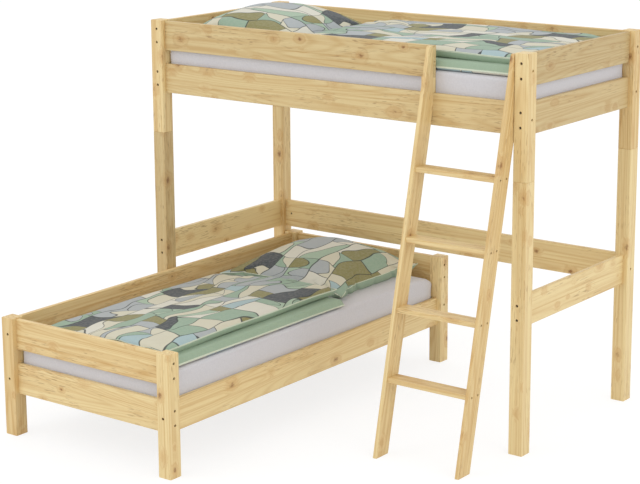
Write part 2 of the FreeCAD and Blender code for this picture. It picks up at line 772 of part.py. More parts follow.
def build_rail_fasteners(name):
    """End screws, bolts and barrel nuts of one bed, each as one group."""
    through = number("post_side - head_recess")
    head_diameter = number("head_diameter")
    head_height = number("head_height")
    pins = []
    for end, outward in screws[name]:
        seat = end + outward * through
        pins.append(headed_pin(seat, outward * -1, number("screw_diameter"),
                               through + number("screw_grip"), head_diameter, head_height))
    add_group(name + "_end_rail_screws", pins)
    pins = []
    for end, outward in bolts[name]:
        seat = end + outward * through
        pins.append(headed_pin(seat, outward * -1, number("bolt_diameter"),
                               through + number("bolt_grip"), head_diameter, head_height))
    add_group(name + "_rail_bolts", pins)
    barrels = []
    length = number("nut_length")
    bolt_bore = number("bolt_diameter / 2 + fit_gap")
    for point, outward in nuts[name]:
        axis = Z_AXIS.cross(outward)
        barrel = Part.makeCylinder(number("nut_diameter / 2"), length,
                                   point - axis * (length / 2), axis)
        start = point - outward * length
        hole = Part.makeCylinder(bolt_bore, 2 * length, start, outward)
        barrels.append(barrel.cut(hole))
    add_group(name + "_barrel_nuts", barrels)


def build_small_screws():
    """Tread screws, ladder fixing screws and ledge screws."""
    shank = number("small_screw_diameter")
    head = number("small_head_diameter")
    height = number("small_head_height")
    recess = number("small_head_recess + small_head_height")
    grip = number("stile_thickness - small_head_recess - small_head_height + tread_screw_grip")
    pins = [headed_pin(point + inward * recess, inward, shank, grip, head, height)
            for point, inward in tread_screws]
    add_group("ladder_tread_screws", pins)
    seat = number("small_head_height + fit_gap")
    length = number("rail_thickness + ladder_screw_grip") - seat
    pins = [headed_pin(point + inward * seat, inward, shank, length, head, height)
            for point, inward in fixing_screws]
    add_group("ladder_fixing_screws", pins)
    for name in ("loft", "low"):
        seat = number("small_head_height + fit_gap")
        length = number("ledge_thickness + ledge_screw_grip") - seat
        pins = [headed_pin(point - outward * seat, outward * -1, shank, length, head, height)
                for point, outward in ledge_screws[name]]
        add_group(name + "_ledge_screws", pins)


def build_dowels():
    """Two upright dowels between each leg and the loft post on it."""
    dowels = []
    length = number("dowel_length")
    spread = number("dowel_spacing") / 2
    low = number("leg_height") - length / 2
    for side_x, side_y in CORNERS:
        x = number("loft_left + post_side / 2")
        if side_x == "right":
            x = number("loft_left + bed_length - post_side / 2")
        y = number("loft_front + post_side / 2")
        if side_y == "back":
            y = number("loft_front + bed_width - post_side / 2")
        for sign in (-1, 1):
            foot = Vector(x + sign * spread, y + sign * spread, low)
            dowels.append(Part.makeCylinder(number("dowel_diameter") / 2, length, foot))
    add_group("leg_dowels", dowels)


# Soft pieces

def build_mattress(frame):
    """A mattress with rounded corners that clear the posts."""
    along_x = frame["long"] == "x"
    size_x = "mattress_length" if along_x else "mattress_width"
    size_y = "mattress_width" if along_x else "mattress_length"
    edge = " + rail_reach + soft_gap"
    height = frame["name"] + "_mattress_thickness"
    body, solid = block(frame["name"] + "_mattress", frame["left"] + edge,
                        frame["front"] + edge, frame["foot"] + " + mattress_foot",
                        size_x, size_y, height)
    corners = round_edges(body, solid, "mattress_corner",
                          lambda edge: edge_runs(edge, Z_AXIS))
    thickness = number(height)
    flat = thickness / 4
    rims = body.newObject("PartDesign::Fillet", body.Label + "_rims")
    names = []
    for index, rim in enumerate(corners.Shape.Edges):
        if abs(edge_height(rim) - thickness / 2) > flat:
            names.append("Edge" + str(index + 1))
    rims.Base = (corners, names)
    rims.setExpression("Radius", with_sheet("mattress_round"))
    doc.recompute()
    body.Tip = rims


def bed_point(frame, along, across, z):
    """A point by its distance from the head end and from the duvet's open side."""
    if frame["long"] == "x":
        return Vector(number(frame["left"]) + along, number(frame["front"]) + across, z)
    right = number(frame["left"]) + number(frame["size_x"])
    back = number(frame["front"]) + number(frame["size_y"])
    return Vector(right - across, back - along, z)


def soft_foot(frame):
    """Level of the bedding: just over the bed's mattress."""
    return number(frame["foot"] + " + " + frame["name"] + "_mattress_top + soft_gap")


PILLOW_SIZE_SHARES = (0.86, 0.96, 1, 0.95, 0.84, 0.68, 0.47, 0.24, 0.06)
PILLOW_RISE_SHARES = (0, 0.09, 0.22, 0.42, 0.64, 0.82, 0.94, 0.99, 1)
PILLOW_DRAW_SHARES = (0.02, 0.045, 0.07, 0.05, 0.01, -0.06, -0.14, -0.2, -0.22)


def pillow_ring(frame, middle_along, middle_across, z, size, draw):
    """A level outline of four arcs; draw pulls the sides in between the corners."""
    half_along = number("pillow_length") / 2 * size
    half_across = number("pillow_width") / 2 * size

    def point(along, across):
        return bed_point(frame, middle_along + half_along * along,
                         middle_across + half_across * across, z)

    corners = ((-1, -1), (1, -1), (1, 1), (-1, 1))
    edges = []
    for index, (along, across) in enumerate(corners):
        next_along, next_across = corners[(index + 1) % len(corners)]
        pull = 1 - draw
        middle = point((along + next_along) / 2 * pull, (across + next_across) / 2 * pull)
        start = point(along, across)
        end = point(next_along, next_across)
        edges.append(Part.Arc(start, middle, end).toShape())
    return Part.Wire(edges)


def build_pillow(frame):
    """A plump pillow at the head: pointed corners, drawn-in sides and a crown."""
    middle_along = number("rail_reach + soft_gap + pillow_length / 2")
    middle_across = number("rail_reach + soft_gap + mattress_width / 2")
    foot = soft_foot(frame)
    start = foot - number("soft_sink")
    full_height = number("pillow_height + soft_sink")
    sections = []
    shares = zip(PILLOW_SIZE_SHARES, PILLOW_RISE_SHARES, PILLOW_DRAW_SHARES)
    for size, rise, draw in shares:
        z = start + full_height * rise
        sections.append(pillow_ring(frame, middle_along, middle_across, z, size, draw))
    add_soft(frame["name"] + "_pillow", sections, foot)


DUVET_ALONG_SHARES = (0, 0.04, 0.18, 0.36, 0.52, 0.68, 0.84, 0.96, 1)
DUVET_HEIGHT_SHARES = (0.5, 0.86, 1, 0.93, 0.99, 0.92, 0.97, 0.84, 0.45)
DUVET_SHIFT_SHARES = (0.3, 0, 0.25, 0.05, 0.3, 0, 0.2, 0.05, 0.4)
LOWER_NOSE_SHARE = 0.24
LOWER_TOP_SHARE = 0.54
NOTCH_SHARE = 0.59
UPPER_FOOT_SHARE = 0.66
UPPER_TOP_SHARE = 0.88
FOLD_TOP_SHARE = 0.95
FOLD_NOSE_SHARE = 0.5
FOLD_BULGE_SHARE = 0.3
FOLD_LIFT_SHARE = 0.13


def duvet_section(frame, along, near, far, height, z, setback):
    """A closed section across the folded duvet, open between its two layers."""
    notch = setback + number("duvet_notch")
    fold = number("duvet_fold_round")
    nose = number("duvet_nose")

    def point(across, share):
        return bed_point(frame, along, across, z + height * share)

    foot_near = point(near + nose, 0)
    lower_nose = point(near, LOWER_NOSE_SHARE)
    lower_top = point(near + nose, LOWER_TOP_SHARE)
    root = point(near + notch, NOTCH_SHARE)
    upper_nose = point(near + setback, UPPER_FOOT_SHARE)
    upper_top = point(near + setback + nose, UPPER_TOP_SHARE)
    crown = point((near + far) / 2, 1)
    fold_top = point(far - fold, FOLD_TOP_SHARE)
    fold_nose = point(far, FOLD_NOSE_SHARE)
    foot_far = point(far - fold, 0)
    low_bulge = point(far - fold * FOLD_BULGE_SHARE, FOLD_LIFT_SHARE)
    high_bulge = point(far - fold * FOLD_BULGE_SHARE, FOLD_TOP_SHARE - FOLD_LIFT_SHARE)
    edges = [
        Part.makeLine(foot_near, lower_nose),
        Part.makeLine(lower_nose, lower_top),
        Part.makeLine(lower_top, root),
        Part.makeLine(root, upper_nose),
        Part.makeLine(upper_nose, upper_top),
        Part.Arc(upper_top, crown, fold_top).toShape(),
        Part.Arc(fold_top, high_bulge, fold_nose).toShape(),
        Part.Arc(fold_nose, low_bulge, foot_far).toShape(),
        Part.makeLine(foot_far, foot_near),
    ]
    return Part.Wire(edges)


def build_duvet(frame):
    """A duvet folded once along the bed, its open edges on the entry side."""
    start = number("rail_reach + soft_gap + pillow_length + duvet_end_gap")
    length = number("duvet_length")
    near = number("rail_reach + soft_gap")
    far = near + number("duvet_width")
    foot = soft_foot(frame)
    low = foot - number("soft_sink")
    full_height = number("duvet_height + soft_sink")
    shift = number("duvet_nose")
    head_setback = number("duvet_head_setback")
    foot_setback = number("duvet_foot_setback")
    sections = []
    shares = zip(DUVET_ALONG_SHARES, DUVET_HEIGHT_SHARES, DUVET_SHIFT_SHARES)
    for along, height, aside in shares:
        setback = head_setback + (foot_setback - head_setback) * along
        sections.append(duvet_section(frame, start + length * along, near + shift * aside,
                                      far - shift * aside, full_height * height, low,
                                      setback))
    add_soft(frame["name"] + "_duvet", sections, foot)


def add_soft(label, sections, foot):
    """A soft piece lofted through its sections and cut flat where it lies."""
    loft = Part.makeLoft(sections, True, False)
    overrun = number("cut_overrun")
    box = loft.BoundBox
    corner = Vector(box.XMin - overrun, box.YMin - overrun, foot)
    above = Part.makeBox(box.XLength + 2 * overrun, box.YLength + 2 * overrun,
                         box.ZMax - foot + overrun, corner)
    piece = doc.addObject("Part::Feature", label)
    piece.Label = label
    piece.Shape = loft.common(above)
    piece.Placement = FreeCAD.Placement()
    parts.append(piece)


# Checks and export

def check_parts():
    """Stop on any error, empty or invalid shape, or a cut that takes nothing away."""
    for item in doc.Objects:
        if "Invalid" in item.State or "Error" in item.State:
            raise ValueError(item.Label + " " + str(item.State))
    for part in parts:
        shape = part.Shape
        if shape.isNull() or not shape.isValid() or not shape.Solids:
            raise ValueError(part.Label + " has no valid solid")
        if part.TypeId != "PartDesign::Body":
            continue
        before = None
        for feature in part.Group:
            if not feature.isDerivedFrom("PartDesign::Feature"):
                continue
            volume = feature.Shape.Volume
            cuts = feature.TypeId == "PartDesign::Pocket"
            if cuts and volume >= before:
                raise ValueError(feature.Label + " takes nothing away")
            before = volume


def export_parts():
    """One file for each named sub-part."""
    os.makedirs("parts", exist_ok=True)
    for part in parts:
        part.Shape.exportStep("parts/" + part.Label + ".step")


def main():
    fill_sheet()
    build_loft_frame()
    build_guard_rail()
    build_low_frame()
    build_slat_base(LOFT, ("front", "back"))
    build_slat_base(LOW, ("left", "right"))
    left_stile = build_stile("ladder_stile_left", "left_stile_x", False)
    right_stile = build_stile("ladder_stile_right", "right_stile_x", True)
    fix_ladder(left_stile, right_stile)
    build_treads()
    for name in ("loft", "low"):
        build_rail_fasteners(name)
    build_small_screws()
    build_dowels()
    for frame in (LOFT, LOW):
        build_mattress(frame)
        build_pillow(frame)
        build_duvet(frame)
    doc.recompute()
    check_parts()
    export_parts()


main()
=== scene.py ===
import json
import math
import random

import bmesh
import bpy
import numpy as np
from mathutils import Matrix, Vector


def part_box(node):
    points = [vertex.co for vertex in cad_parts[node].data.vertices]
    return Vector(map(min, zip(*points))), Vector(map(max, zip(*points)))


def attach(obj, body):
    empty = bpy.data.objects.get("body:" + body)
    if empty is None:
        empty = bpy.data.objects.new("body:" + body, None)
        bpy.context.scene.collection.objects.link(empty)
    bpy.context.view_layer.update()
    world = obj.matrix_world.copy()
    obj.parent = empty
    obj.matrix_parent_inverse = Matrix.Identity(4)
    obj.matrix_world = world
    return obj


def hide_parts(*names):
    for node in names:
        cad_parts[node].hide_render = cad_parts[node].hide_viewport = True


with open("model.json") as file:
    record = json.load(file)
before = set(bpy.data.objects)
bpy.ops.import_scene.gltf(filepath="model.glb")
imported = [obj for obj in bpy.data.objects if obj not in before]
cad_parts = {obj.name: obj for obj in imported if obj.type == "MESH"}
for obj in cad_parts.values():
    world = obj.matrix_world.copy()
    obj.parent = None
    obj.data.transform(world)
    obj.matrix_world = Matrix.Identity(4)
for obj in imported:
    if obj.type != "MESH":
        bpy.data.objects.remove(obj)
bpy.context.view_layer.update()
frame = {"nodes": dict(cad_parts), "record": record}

bl_info = {
    "name": "Corner bunk bed",
    "version": (1, 0, 0),
    "blender": (4, 5, 0),
    "location": "3D View > Sidebar > Bunk bed",
    "description": "Finishes, bedding and studio for a pine corner bunk bed",
    "category": "Object",
}


# Settings

def colour_setting(name, description, default):
    """A colour that a user may change."""
    return bpy.props.FloatVectorProperty(name=name, description=description, size=3,
                                         default=default, min=0, max=1, subtype="COLOR")


class PineSettings(bpy.types.PropertyGroup):
    """Colours and tones of the pine boards."""
    light: colour_setting("Light wood", "Colour between the growth lines", (0.83, 0.66, 0.345))
    line: colour_setting("Growth lines", "Colour of the growth lines", (0.60, 0.37, 0.135))
    knot: colour_setting("Knots", "Colour at the middle of a knot", (0.27, 0.115, 0.035))
    tone_spread: bpy.props.FloatProperty(
        name="Tone spread", description="How much the boards differ in tone",
        default=0.5, min=0, max=1, subtype="FACTOR")


class BeddingSettings(bpy.types.PropertyGroup):
    """Colours and fullness of pillows and duvets."""
    reverse: colour_setting("Reverse", "Colour of the plain reverse side", (0.36, 0.47, 0.345))
    piping: colour_setting("Piping", "Colour of the seam piping", (0.68, 0.74, 0.60))
    patch_size: bpy.props.FloatProperty(
        name="Patch size", description="Size of a patch in the print", default=0.116,
        min=0.02, max=0.5, subtype="DISTANCE", unit="LENGTH")
    outline_width: bpy.props.FloatProperty(
        name="Outline", description="Half width of the dark line round a patch", default=0.0032,
        min=0, max=0.02, subtype="DISTANCE", unit="LENGTH")
    pillow_frames: bpy.props.IntProperty(
        name="Pillow steps", description="Cloth steps that inflate the pillow", default=24,
        min=1, max=60)
    duvet_frames: bpy.props.IntProperty(
        name="Duvet steps", description="Cloth steps that inflate the duvet", default=11,
        min=1, max=60)


class MattressSettings(bpy.types.PropertyGroup):
    """Cover of the mattresses."""
    cover: colour_setting("Cover", "Colour of the mattress cover", (0.68, 0.67, 0.70))
    crown: bpy.props.FloatProperty(
        name="Crown", description="How far the sides are drawn in between the seams",
        default=0.006, min=0, max=0.02, subtype="DISTANCE", unit="LENGTH")


class StageSettings(bpy.types.PropertyGroup):
    """Floor, lamps and sky."""
    floor_colour: colour_setting("Floor", "Colour of the floor", (0.86, 0.86, 0.86))
    key_strength: bpy.props.FloatProperty(
        name="Key lamp", description="Power of the key lamp", default=70, min=0, unit="POWER")
    fill_strength: bpy.props.FloatProperty(
        name="Fill lamp", description="Power of the fill lamp", default=45, min=0,
        unit="POWER")
    sky_strength: bpy.props.FloatProperty(
        name="Sky", description="Strength of the soft light from all round", default=0.96,
        min=0)


# Node helpers

def new_tree_group(name, inputs, outputs):
    """An empty shader group with named sockets, or none if it is there already."""
    if name in bpy.data.node_groups:
        return None
    tree = bpy.data.node_groups.new(name, "ShaderNodeTree")
    for label, kind, default in inputs:
        socket = tree.interface.new_socket(label, in_out="INPUT", socket_type=kind)
        if default is not None:
            socket.default_value = default
    for label, kind in outputs:
        tree.interface.new_socket(label, in_out="OUTPUT", socket_type=kind)
    tree.nodes.new("NodeGroupInput")
    tree.nodes.new("NodeGroupOutput")
    return tree


def group_ends(tree):
    """The group's input and output nodes."""
    start = next(node for node in tree.nodes if node.type == "GROUP_INPUT")
    end = next(node for node in tree.nodes if node.type == "GROUP_OUTPUT")
    return start.outputs, end.inputs


def feed(tree, value, socket):
    """Link a socket, or set a plain value."""
    if isinstance(value, bpy.types.NodeSocket):
        tree.links.new(value, socket)
    elif value is not None:
        socket.default_value = value


def math_node(tree, operation, first, second=None, third=None, clamp=False):
    """What a Math node makes of up to three values."""
    node = tree.nodes.new("ShaderNodeMath")
    node.operation = operation
    node.use_clamp = clamp
    for index, value in enumerate((first, second, third)):
        feed(tree, value, node.inputs[index])
    return node.outputs[0]


def weighted(tree, start, *parts):
    """A start plus each mask times its share."""
    total = start
    for mask, share in parts:
        total = math_node(tree, "MULTIPLY_ADD", mask, share, total)
    return total


def parts_of(tree, value):
    """The three parts of a vector or a colour."""
    kind = "Color" if value.type == "RGBA" else "XYZ"
    node = tree.nodes.new("ShaderNodeSeparate" + kind)
    tree.links.new(value, node.inputs[0])
    return node.outputs


def remap(tree, value, low, high, to_low=0.0, to_high=1.0):
    """A value carried smoothly from one range to another."""
    node = tree.nodes.new("ShaderNodeMapRange")
    node.interpolation_type = "SMOOTHSTEP"
    for index, entry in enumerate((value, low, high, to_low, to_high)):
        feed(tree, entry, node.inputs[index])
    return node.outputs[0]


def scaled(tree, vector, scale, location=(0, 0, 0), rotation=(0, 0, 0)):
    """A vector scaled, turned and moved."""
    node = tree.nodes.new("ShaderNodeMapping")
    tree.links.new(vector, node.inputs["Vector"])
    set_inputs(node, {"Location": location, "Rotation": rotation, "Scale": scale})
    return node.outputs["Vector"]


def noise(tree, place, per_metre, detail, roughness=0.5):
    """Soft random values that change over a place, along each axis at its own rate."""
    node = tree.nodes.new("ShaderNodeTexNoise")
    tree.links.new(scaled(tree, place, per_metre), node.inputs["Vector"])
    set_inputs(node, {"Scale": 1.0, "Detail": detail, "Roughness": roughness})
    return node.outputs["Fac"]


def blend_colours(tree, factor, first, second):
    """A mix of two colours, each a socket or a plain colour."""
    node = tree.nodes.new("ShaderNodeMix")
    node.data_type = "RGBA"
    colours = [socket for socket in node.inputs if socket.type == "RGBA"]
    feed(tree, factor, node.inputs[0])
    for socket, colour in zip(colours, (first, second)):
        if isinstance(colour, bpy.types.NodeSocket):
            tree.links.new(colour, socket)
        else:
            socket.default_value = (*colour, 1)
    return next(socket for socket in node.outputs if socket.type == "RGBA")


def new_material(name):
    """A material with one principled shader, its tree and that shader."""
    material = bpy.data.materials.new(name)
    material.use_nodes = True
    tree = material.node_tree
    shader = next(node for node in tree.nodes if node.type == "BSDF_PRINCIPLED")
    return material, tree, shader


def set_inputs(node, values):
    """Plain values for some of a node's inputs."""
    for socket, value in values.items():
        node.inputs[socket].default_value = value


def add_group(tree, name):
    """Place one of the shader groups in a material."""
    node = tree.nodes.new("ShaderNodeGroup")
    node.node_tree = bpy.data.node_groups[name]
    return node


def add_bump(tree, shader, height, strength, distance):
    """Let a height tilt the surface's normal."""
    bump = tree.nodes.new("ShaderNodeBump")
    set_inputs(bump, {"Strength": strength, "Distance": distance})
    tree.links.new(height, bump.inputs["Height"])
    tree.links.new(bump.outputs["Normal"], shader.inputs["Normal"])


# Pine

# Each pattern: its rates per metre along, across and through a board, detail and roughness
FIGURE_PATTERN = ((0.45, 8.0, 8.0), 1.5, 0.4)
BAND_PATTERN = ((0.35, 48.0, 48.0), 1.5, 0.5)
LINE_PATTERN = ((1.1, 170.0, 170.0), 1.0, 0.5)
FIBRE_PATTERN = ((16.0, 520.0, 520.0), 2.0, 0.6)
DASH_PATTERN = ((22.0, 330.0, 330.0), 0.5, 0.5)
DASH_FIELD_PATTERN = ((3.0, 9.0, 9.0), 1.0, 0.5)
KNOT_EDGE_PATTERN = ((110, 160, 160), 3.0, 0.5)
KNOTS_PER_METRE = (6.5, 10.0, 10.0)

# Noise values between which each pattern rises from none to full
BAND_RANGE = (0.32, 0.68)
LINE_RANGE = (0.55, 0.72)
FIBRE_RANGE = (0.45, 0.75)
DASH_RANGE = (0.62, 0.72)
DASH_FIELD_RANGE = (0.47, 0.60)

# Reach of a knot in cells, its core and halo in reaches, and the figure that bends round it
KNOT_REACH = 0.07
KNOT_REACH_SPREAD = 0.10
KNOT_RAGGEDNESS = 1.1
CORE_RANGE = (0.2, 1.0)
HALO_RANGE = (0.8, 2.8)
HALO_COLOUR = (0.60, 0.34, 0.12)
FIGURE_WAVES = 22.0
FIGURE_HALO_WAVES = 1.3
FIGURE_SHARPNESS = 2.5

# How much each pattern darkens the wood, and where a board's tone starts
BASE_SHARE = 0.02
BAND_SHARE = 0.30
LINE_SHARE = 0.34
FIGURE_SHARE = 0.30
FIBRE_SHARE = 0.16
TONE_SHARE = 0.34
TONE_START = -0.14
MIDDLE_TONE = 0.5
DASH_SHARE = 0.55
HALO_SHARE = 0.45
CORE_SHARE = 0.85

# Roughness and height of the planed surface
ROUGHNESS_START = 0.40
FIBRE_ROUGHNESS = 0.16
HEIGHT_START = 0.2
FIBRE_RISE = 0.5
LINE_RISE = -0.25
CORE_RISE = 0.3
PINE_BUMP = (0.25, 0.0006)
PINE_LACQUER = {"Specular IOR Level": 0.35, "Coat Weight": 0.06, "Coat Roughness": 0.35}


def make_pine_group():
    """Straight bands and lines, growth figure round knots, short dark resin dashes, and painted
    shade that darkens a board towards black where it lies in shade.
    """
    tree = new_tree_group(
        "pine grain",
        (("Vector", "NodeSocketVector", None), ("Light", "NodeSocketColor", None),
         ("Line", "NodeSocketColor", None), ("Knot", "NodeSocketColor", None),
         ("Tone", "NodeSocketFloat", MIDDLE_TONE), ("Painted shade", "NodeSocketFloat", 0.0)),
        (("Color", "NodeSocketColor"), ("Roughness", "NodeSocketFloat"),
         ("Height", "NodeSocketFloat")))
    if tree is None:
        return
    given, wanted = group_ends(tree)
    place = given["Vector"]
    core, halo = knots(tree, place)
    figure = growth_figure(tree, place, halo)
    bands = remap(tree, noise(tree, place, *BAND_PATTERN), *BAND_RANGE)
    lines = remap(tree, noise(tree, place, *LINE_PATTERN), *LINE_RANGE)
    fibre = noise(tree, place, *FIBRE_PATTERN)

    amount = weighted(tree, BASE_SHARE, (bands, BAND_SHARE), (lines, LINE_SHARE),
                      (figure, FIGURE_SHARE))
    rise = remap(tree, fibre, *FIBRE_RANGE, 0.0, FIBRE_SHARE)
    amount = math_node(tree, "ADD", amount, rise)
    spread = weighted(tree, TONE_START, (given["Tone"], TONE_SHARE))
    amount = math_node(tree, "ADD", amount, spread, clamp=True)
    wood = blend_colours(tree, amount, given["Light"], given["Line"])

    for mask, share, colour in ((resin_dashes(tree, place), DASH_SHARE, given["Knot"]),
                                (halo, HALO_SHARE, HALO_COLOUR),
                                (core, CORE_SHARE, given["Knot"])):
        wood = blend_colours(tree, math_node(tree, "MULTIPLY", mask, share), wood, colour)
    # Painted shade: a board that lies in shade is darkened towards black
    wood = blend_colours(tree, given["Painted shade"], wood, (0, 0, 0))
    tree.links.new(wood, wanted["Color"])

    rough = weighted(tree, ROUGHNESS_START, (fibre, FIBRE_ROUGHNESS))
    tree.links.new(rough, wanted["Roughness"])
    height = weighted(tree, HEIGHT_START, (fibre, FIBRE_RISE), (lines, LINE_RISE),
                      (core, CORE_RISE))
    tree.links.new(height, wanted["Height"])


def growth_figure(tree, place, halo):
    """Wide wavy bands along the board, bent round its knots."""
    slow = noise(tree, place, *FIGURE_PATTERN)
    phase = math_node(tree, "MULTIPLY_ADD", halo, FIGURE_HALO_WAVES,
                      math_node(tree, "MULTIPLY", slow, FIGURE_WAVES))
    wave = math_node(tree, "SINE", math_node(tree, "MULTIPLY", phase, 2 * math.pi))
    return math_node(tree, "POWER", math_node(tree, "MULTIPLY_ADD", wave, 0.5, 0.5),
                     FIGURE_SHARPNESS)


def resin_dashes(tree, place):
    """Short dark dashes, gathered in fields."""
    dash = remap(tree, noise(tree, place, *DASH_PATTERN), *DASH_RANGE)
    field = remap(tree, noise(tree, place, *DASH_FIELD_PATTERN), *DASH_FIELD_RANGE)
    return math_node(tree, "MULTIPLY", dash, field)


def knots(tree, place):
    """Masks of the knots' dark cores and of the paler halos round them."""
    cells = tree.nodes.new("ShaderNodeTexVoronoi")
    cells.inputs["Scale"].default_value = 1.0
    tree.links.new(scaled(tree, place, KNOTS_PER_METRE), cells.inputs["Vector"])
    chance = parts_of(tree, cells.outputs["Color"])
    reach = weighted(tree, KNOT_REACH, (chance[0], KNOT_REACH_SPREAD))
    away = math_node(tree, "DIVIDE", cells.outputs["Distance"], reach)
    ragged = noise(tree, place, *KNOT_EDGE_PATTERN)
    away = math_node(tree, "MULTIPLY_ADD", ragged, KNOT_RAGGEDNESS,
                     math_node(tree, "ADD", away, -KNOT_RAGGEDNESS / 2))
    return (remap(tree, away, *CORE_RANGE, 1.0, 0.0),
            remap(tree, away, *HALO_RANGE, 1.0, 0.0))


def pine_material(name, turn, shift, tone_and_painted_shade, pine):
    """Pine with its grain along local X after the turn, moved to its own piece of log, with its
    tone and its painted shade.
    """
    material, tree, shader = new_material(name)
    coordinates = tree.nodes.new("ShaderNodeTexCoord")
    along = scaled(tree, coordinates.outputs["Object"], (1, 1, 1), shift, turn)
    grain = add_group(tree, "pine grain")
    tree.links.new(along, grain.inputs["Vector"])
    for socket, colour in (("Light", pine.light), ("Line", pine.line), ("Knot", pine.knot)):
        grain.inputs[socket].default_value = (*colour, 1)
    # Tone, and painted shade that darkens a board lying in shade
    for socket, amount in zip(("Tone", "Painted shade"), tone_and_painted_shade):
        grain.inputs[socket].default_value = amount
    tree.links.new(grain.outputs["Color"], shader.inputs["Base Color"])
    tree.links.new(grain.outputs["Roughness"], shader.inputs["Roughness"])
    set_inputs(shader, PINE_LACQUER)
    add_bump(tree, shader, grain.outputs["Height"], *PINE_BUMP)
    return material


def longest_axis(node):
    """0, 1 or 2: the axis along which a board is longest."""
    low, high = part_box(node)
    sizes = [high[axis] - low[axis] for axis in range(3)]
    return sizes.index(max(sizes))


def stile_lean():
    """Lean of the stiles, whose front edges rise from the floor to the posts' front."""
    low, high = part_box("ladder_stile_left")
    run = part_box("loft_post_front_left")[0].y - low.y
    return math.atan2(run, high.z - low.z)


# A group of slats is longest across the slats, so the axis of their length is given
SLAT_AXES = {"loft_slats": 1, "low_slats": 0}


def grain_turn(node):
    """Turn that lays a board's length on local X."""
    quarter = math.pi / 2
    if node.startswith("ladder_stile"):
        return (0, quarter, -stile_lean())
    axis = SLAT_AXES.get(node, longest_axis(node))
    return ((0, 0, 0), (0, 0, -quarter), (0, quarter, 0))[axis]


BOARD_SEED = 7
LOG_REACH = 4
# Tone of the boards that stand out, and painted shade: how far each board in shade is darkened
BOARD_TONES_AND_PAINTED_SHADES = {
    "loft_lower_rail_front": (MIDDLE_TONE, 0.12),
    "loft_guard_rail_front": (MIDDLE_TONE, 0.17),
    "loft_upper_rail_right": (MIDDLE_TONE, 0.27),
    "loft_lower_rail_right": (MIDDLE_TONE, 0.21),
    "loft_leg_front_left": (MIDDLE_TONE, 0.20),
    "loft_leg_front_right": (-0.1, 0.0),
    "loft_leg_back_right": (-0.1, 0.0),
    "brace_rail_left": (-0.6, 0.0),
    "ladder_stile_right": (0.9, 0.0),
    "low_upper_rail_foot": (0.7, 0.0),
}


class BED_OT_pine(bpy.types.Operator):
    """Give every board, post and slat its own piece of pine"""
    bl_idname = "bed.pine"
    bl_label = "Pine boards"

    def execute(self, context):
        pine = context.scene.bed_pine
        make_pine_group()
        choose = random.Random(BOARD_SEED)
        for node in nodes_with("pine"):
            shift = [choose.uniform(-LOG_REACH, LOG_REACH) for _ in range(3)]
            tone = MIDDLE_TONE + pine.tone_spread * (choose.random() * 2 - 1)
            # Boards that lie in shade get painted shade; the others get none
            tone_and_painted_shade = BOARD_TONES_AND_PAINTED_SHADES.get(node, (tone, 0.0))
            name = "pine " + node.replace("_", " ")
            dress(node, pine_material(name, grain_turn(node), shift, tone_and_painted_shade, pine))
        return {"FINISHED"}


def nodes_with(slot):
    """Names of the nodes whose record gives them this material slot."""
    parts = frame["record"]["subparts"]
    return [part["node"] for part in parts if part["material_slot"] == slot]


def dress(node, material):
    """Give a node one material."""
    piece = frame["nodes"][node]
    piece.data.materials.clear()
    piece.data.materials.append(material)


# Hardware

FLECK_RANGE = (0.3, 0.7)
HARDWARE_BUMP_STRENGTH = 0.2
# Flecks: their rates per metre along each axis, and their detail
STEEL_FLECKS = ((600, 600, 600), 3)
STEEL_COLOURS = ((0.040, 0.026, 0.014), (0.100, 0.068, 0.040))
STEEL_ROUGHNESS = (0.35, 0.6)
STEEL_METALLIC = 0.6
STEEL_BUMP_DEPTH = 0.0002
BEECH_FLECKS = ((500, 500, 40), 2)
BEECH_COLOURS = ((0.70, 0.50, 0.31), (0.56, 0.36, 0.20))
BEECH_ROUGHNESS = (0.5, 0.65)
BEECH_BUMP_DEPTH = 0.0003


class BED_OT_hardware(bpy.types.Operator):
    """Finish the screws, bolts, barrel nuts and dowels"""
    bl_idname = "bed.hardware"
    bl_label = "Screws, bolts and dowels"

    def execute(self, context):
        steel = flecked_material("zinc plated steel", STEEL_FLECKS, STEEL_COLOURS,
                                 STEEL_ROUGHNESS, STEEL_METALLIC, STEEL_BUMP_DEPTH)
        beech = flecked_material("beech dowel", BEECH_FLECKS, BEECH_COLOURS,
                                 BEECH_ROUGHNESS, 0.0, BEECH_BUMP_DEPTH)
        for slot, material in (("steel", steel), ("beech", beech)):
            for node in nodes_with(slot):
                dress(node, material)
        return {"FINISHED"}


def flecked_material(name, flecks, colours, roughness, metallic, depth):
    """A finish whose tone and roughness vary finely over the piece."""
    material, tree, shader = new_material(name)
    place = tree.nodes.new("ShaderNodeTexCoord").outputs["Object"]
    fleck = noise(tree, place, *flecks)
    tree.links.new(blend_colours(tree, fleck, *colours), shader.inputs["Base Color"])
    tree.links.new(remap(tree, fleck, *FLECK_RANGE, *roughness), shader.inputs["Roughness"])
    shader.inputs["Metallic"].default_value = metallic
    add_bump(tree, shader, fleck, HARDWARE_BUMP_STRENGTH, depth)
    return material


# Cloth

THREADS_PER_METRE = 900.0
SLUB_PATTERN = ((140, 140, 140), 2)
SLUB_RANGE = (0.2, 0.8)
SLUB_HEIGHT_SHARE = 0.35
THREAD_HEIGHT_SHARE = 0.25
CLOTH_ROUGHNESS = (0.78, 0.92)
CLOTH_BUMP = (0.12, 0.0006)
CLOTH_SHINE = {"Specular IOR Level": 0.2, "Sheen Roughness": 0.5}
DARK_CLOTH_SHARE = 0.86
COTTON_SHEEN = 0.08
PLAIN_SHEEN = 0.1
COVER_SHEEN = 0.15


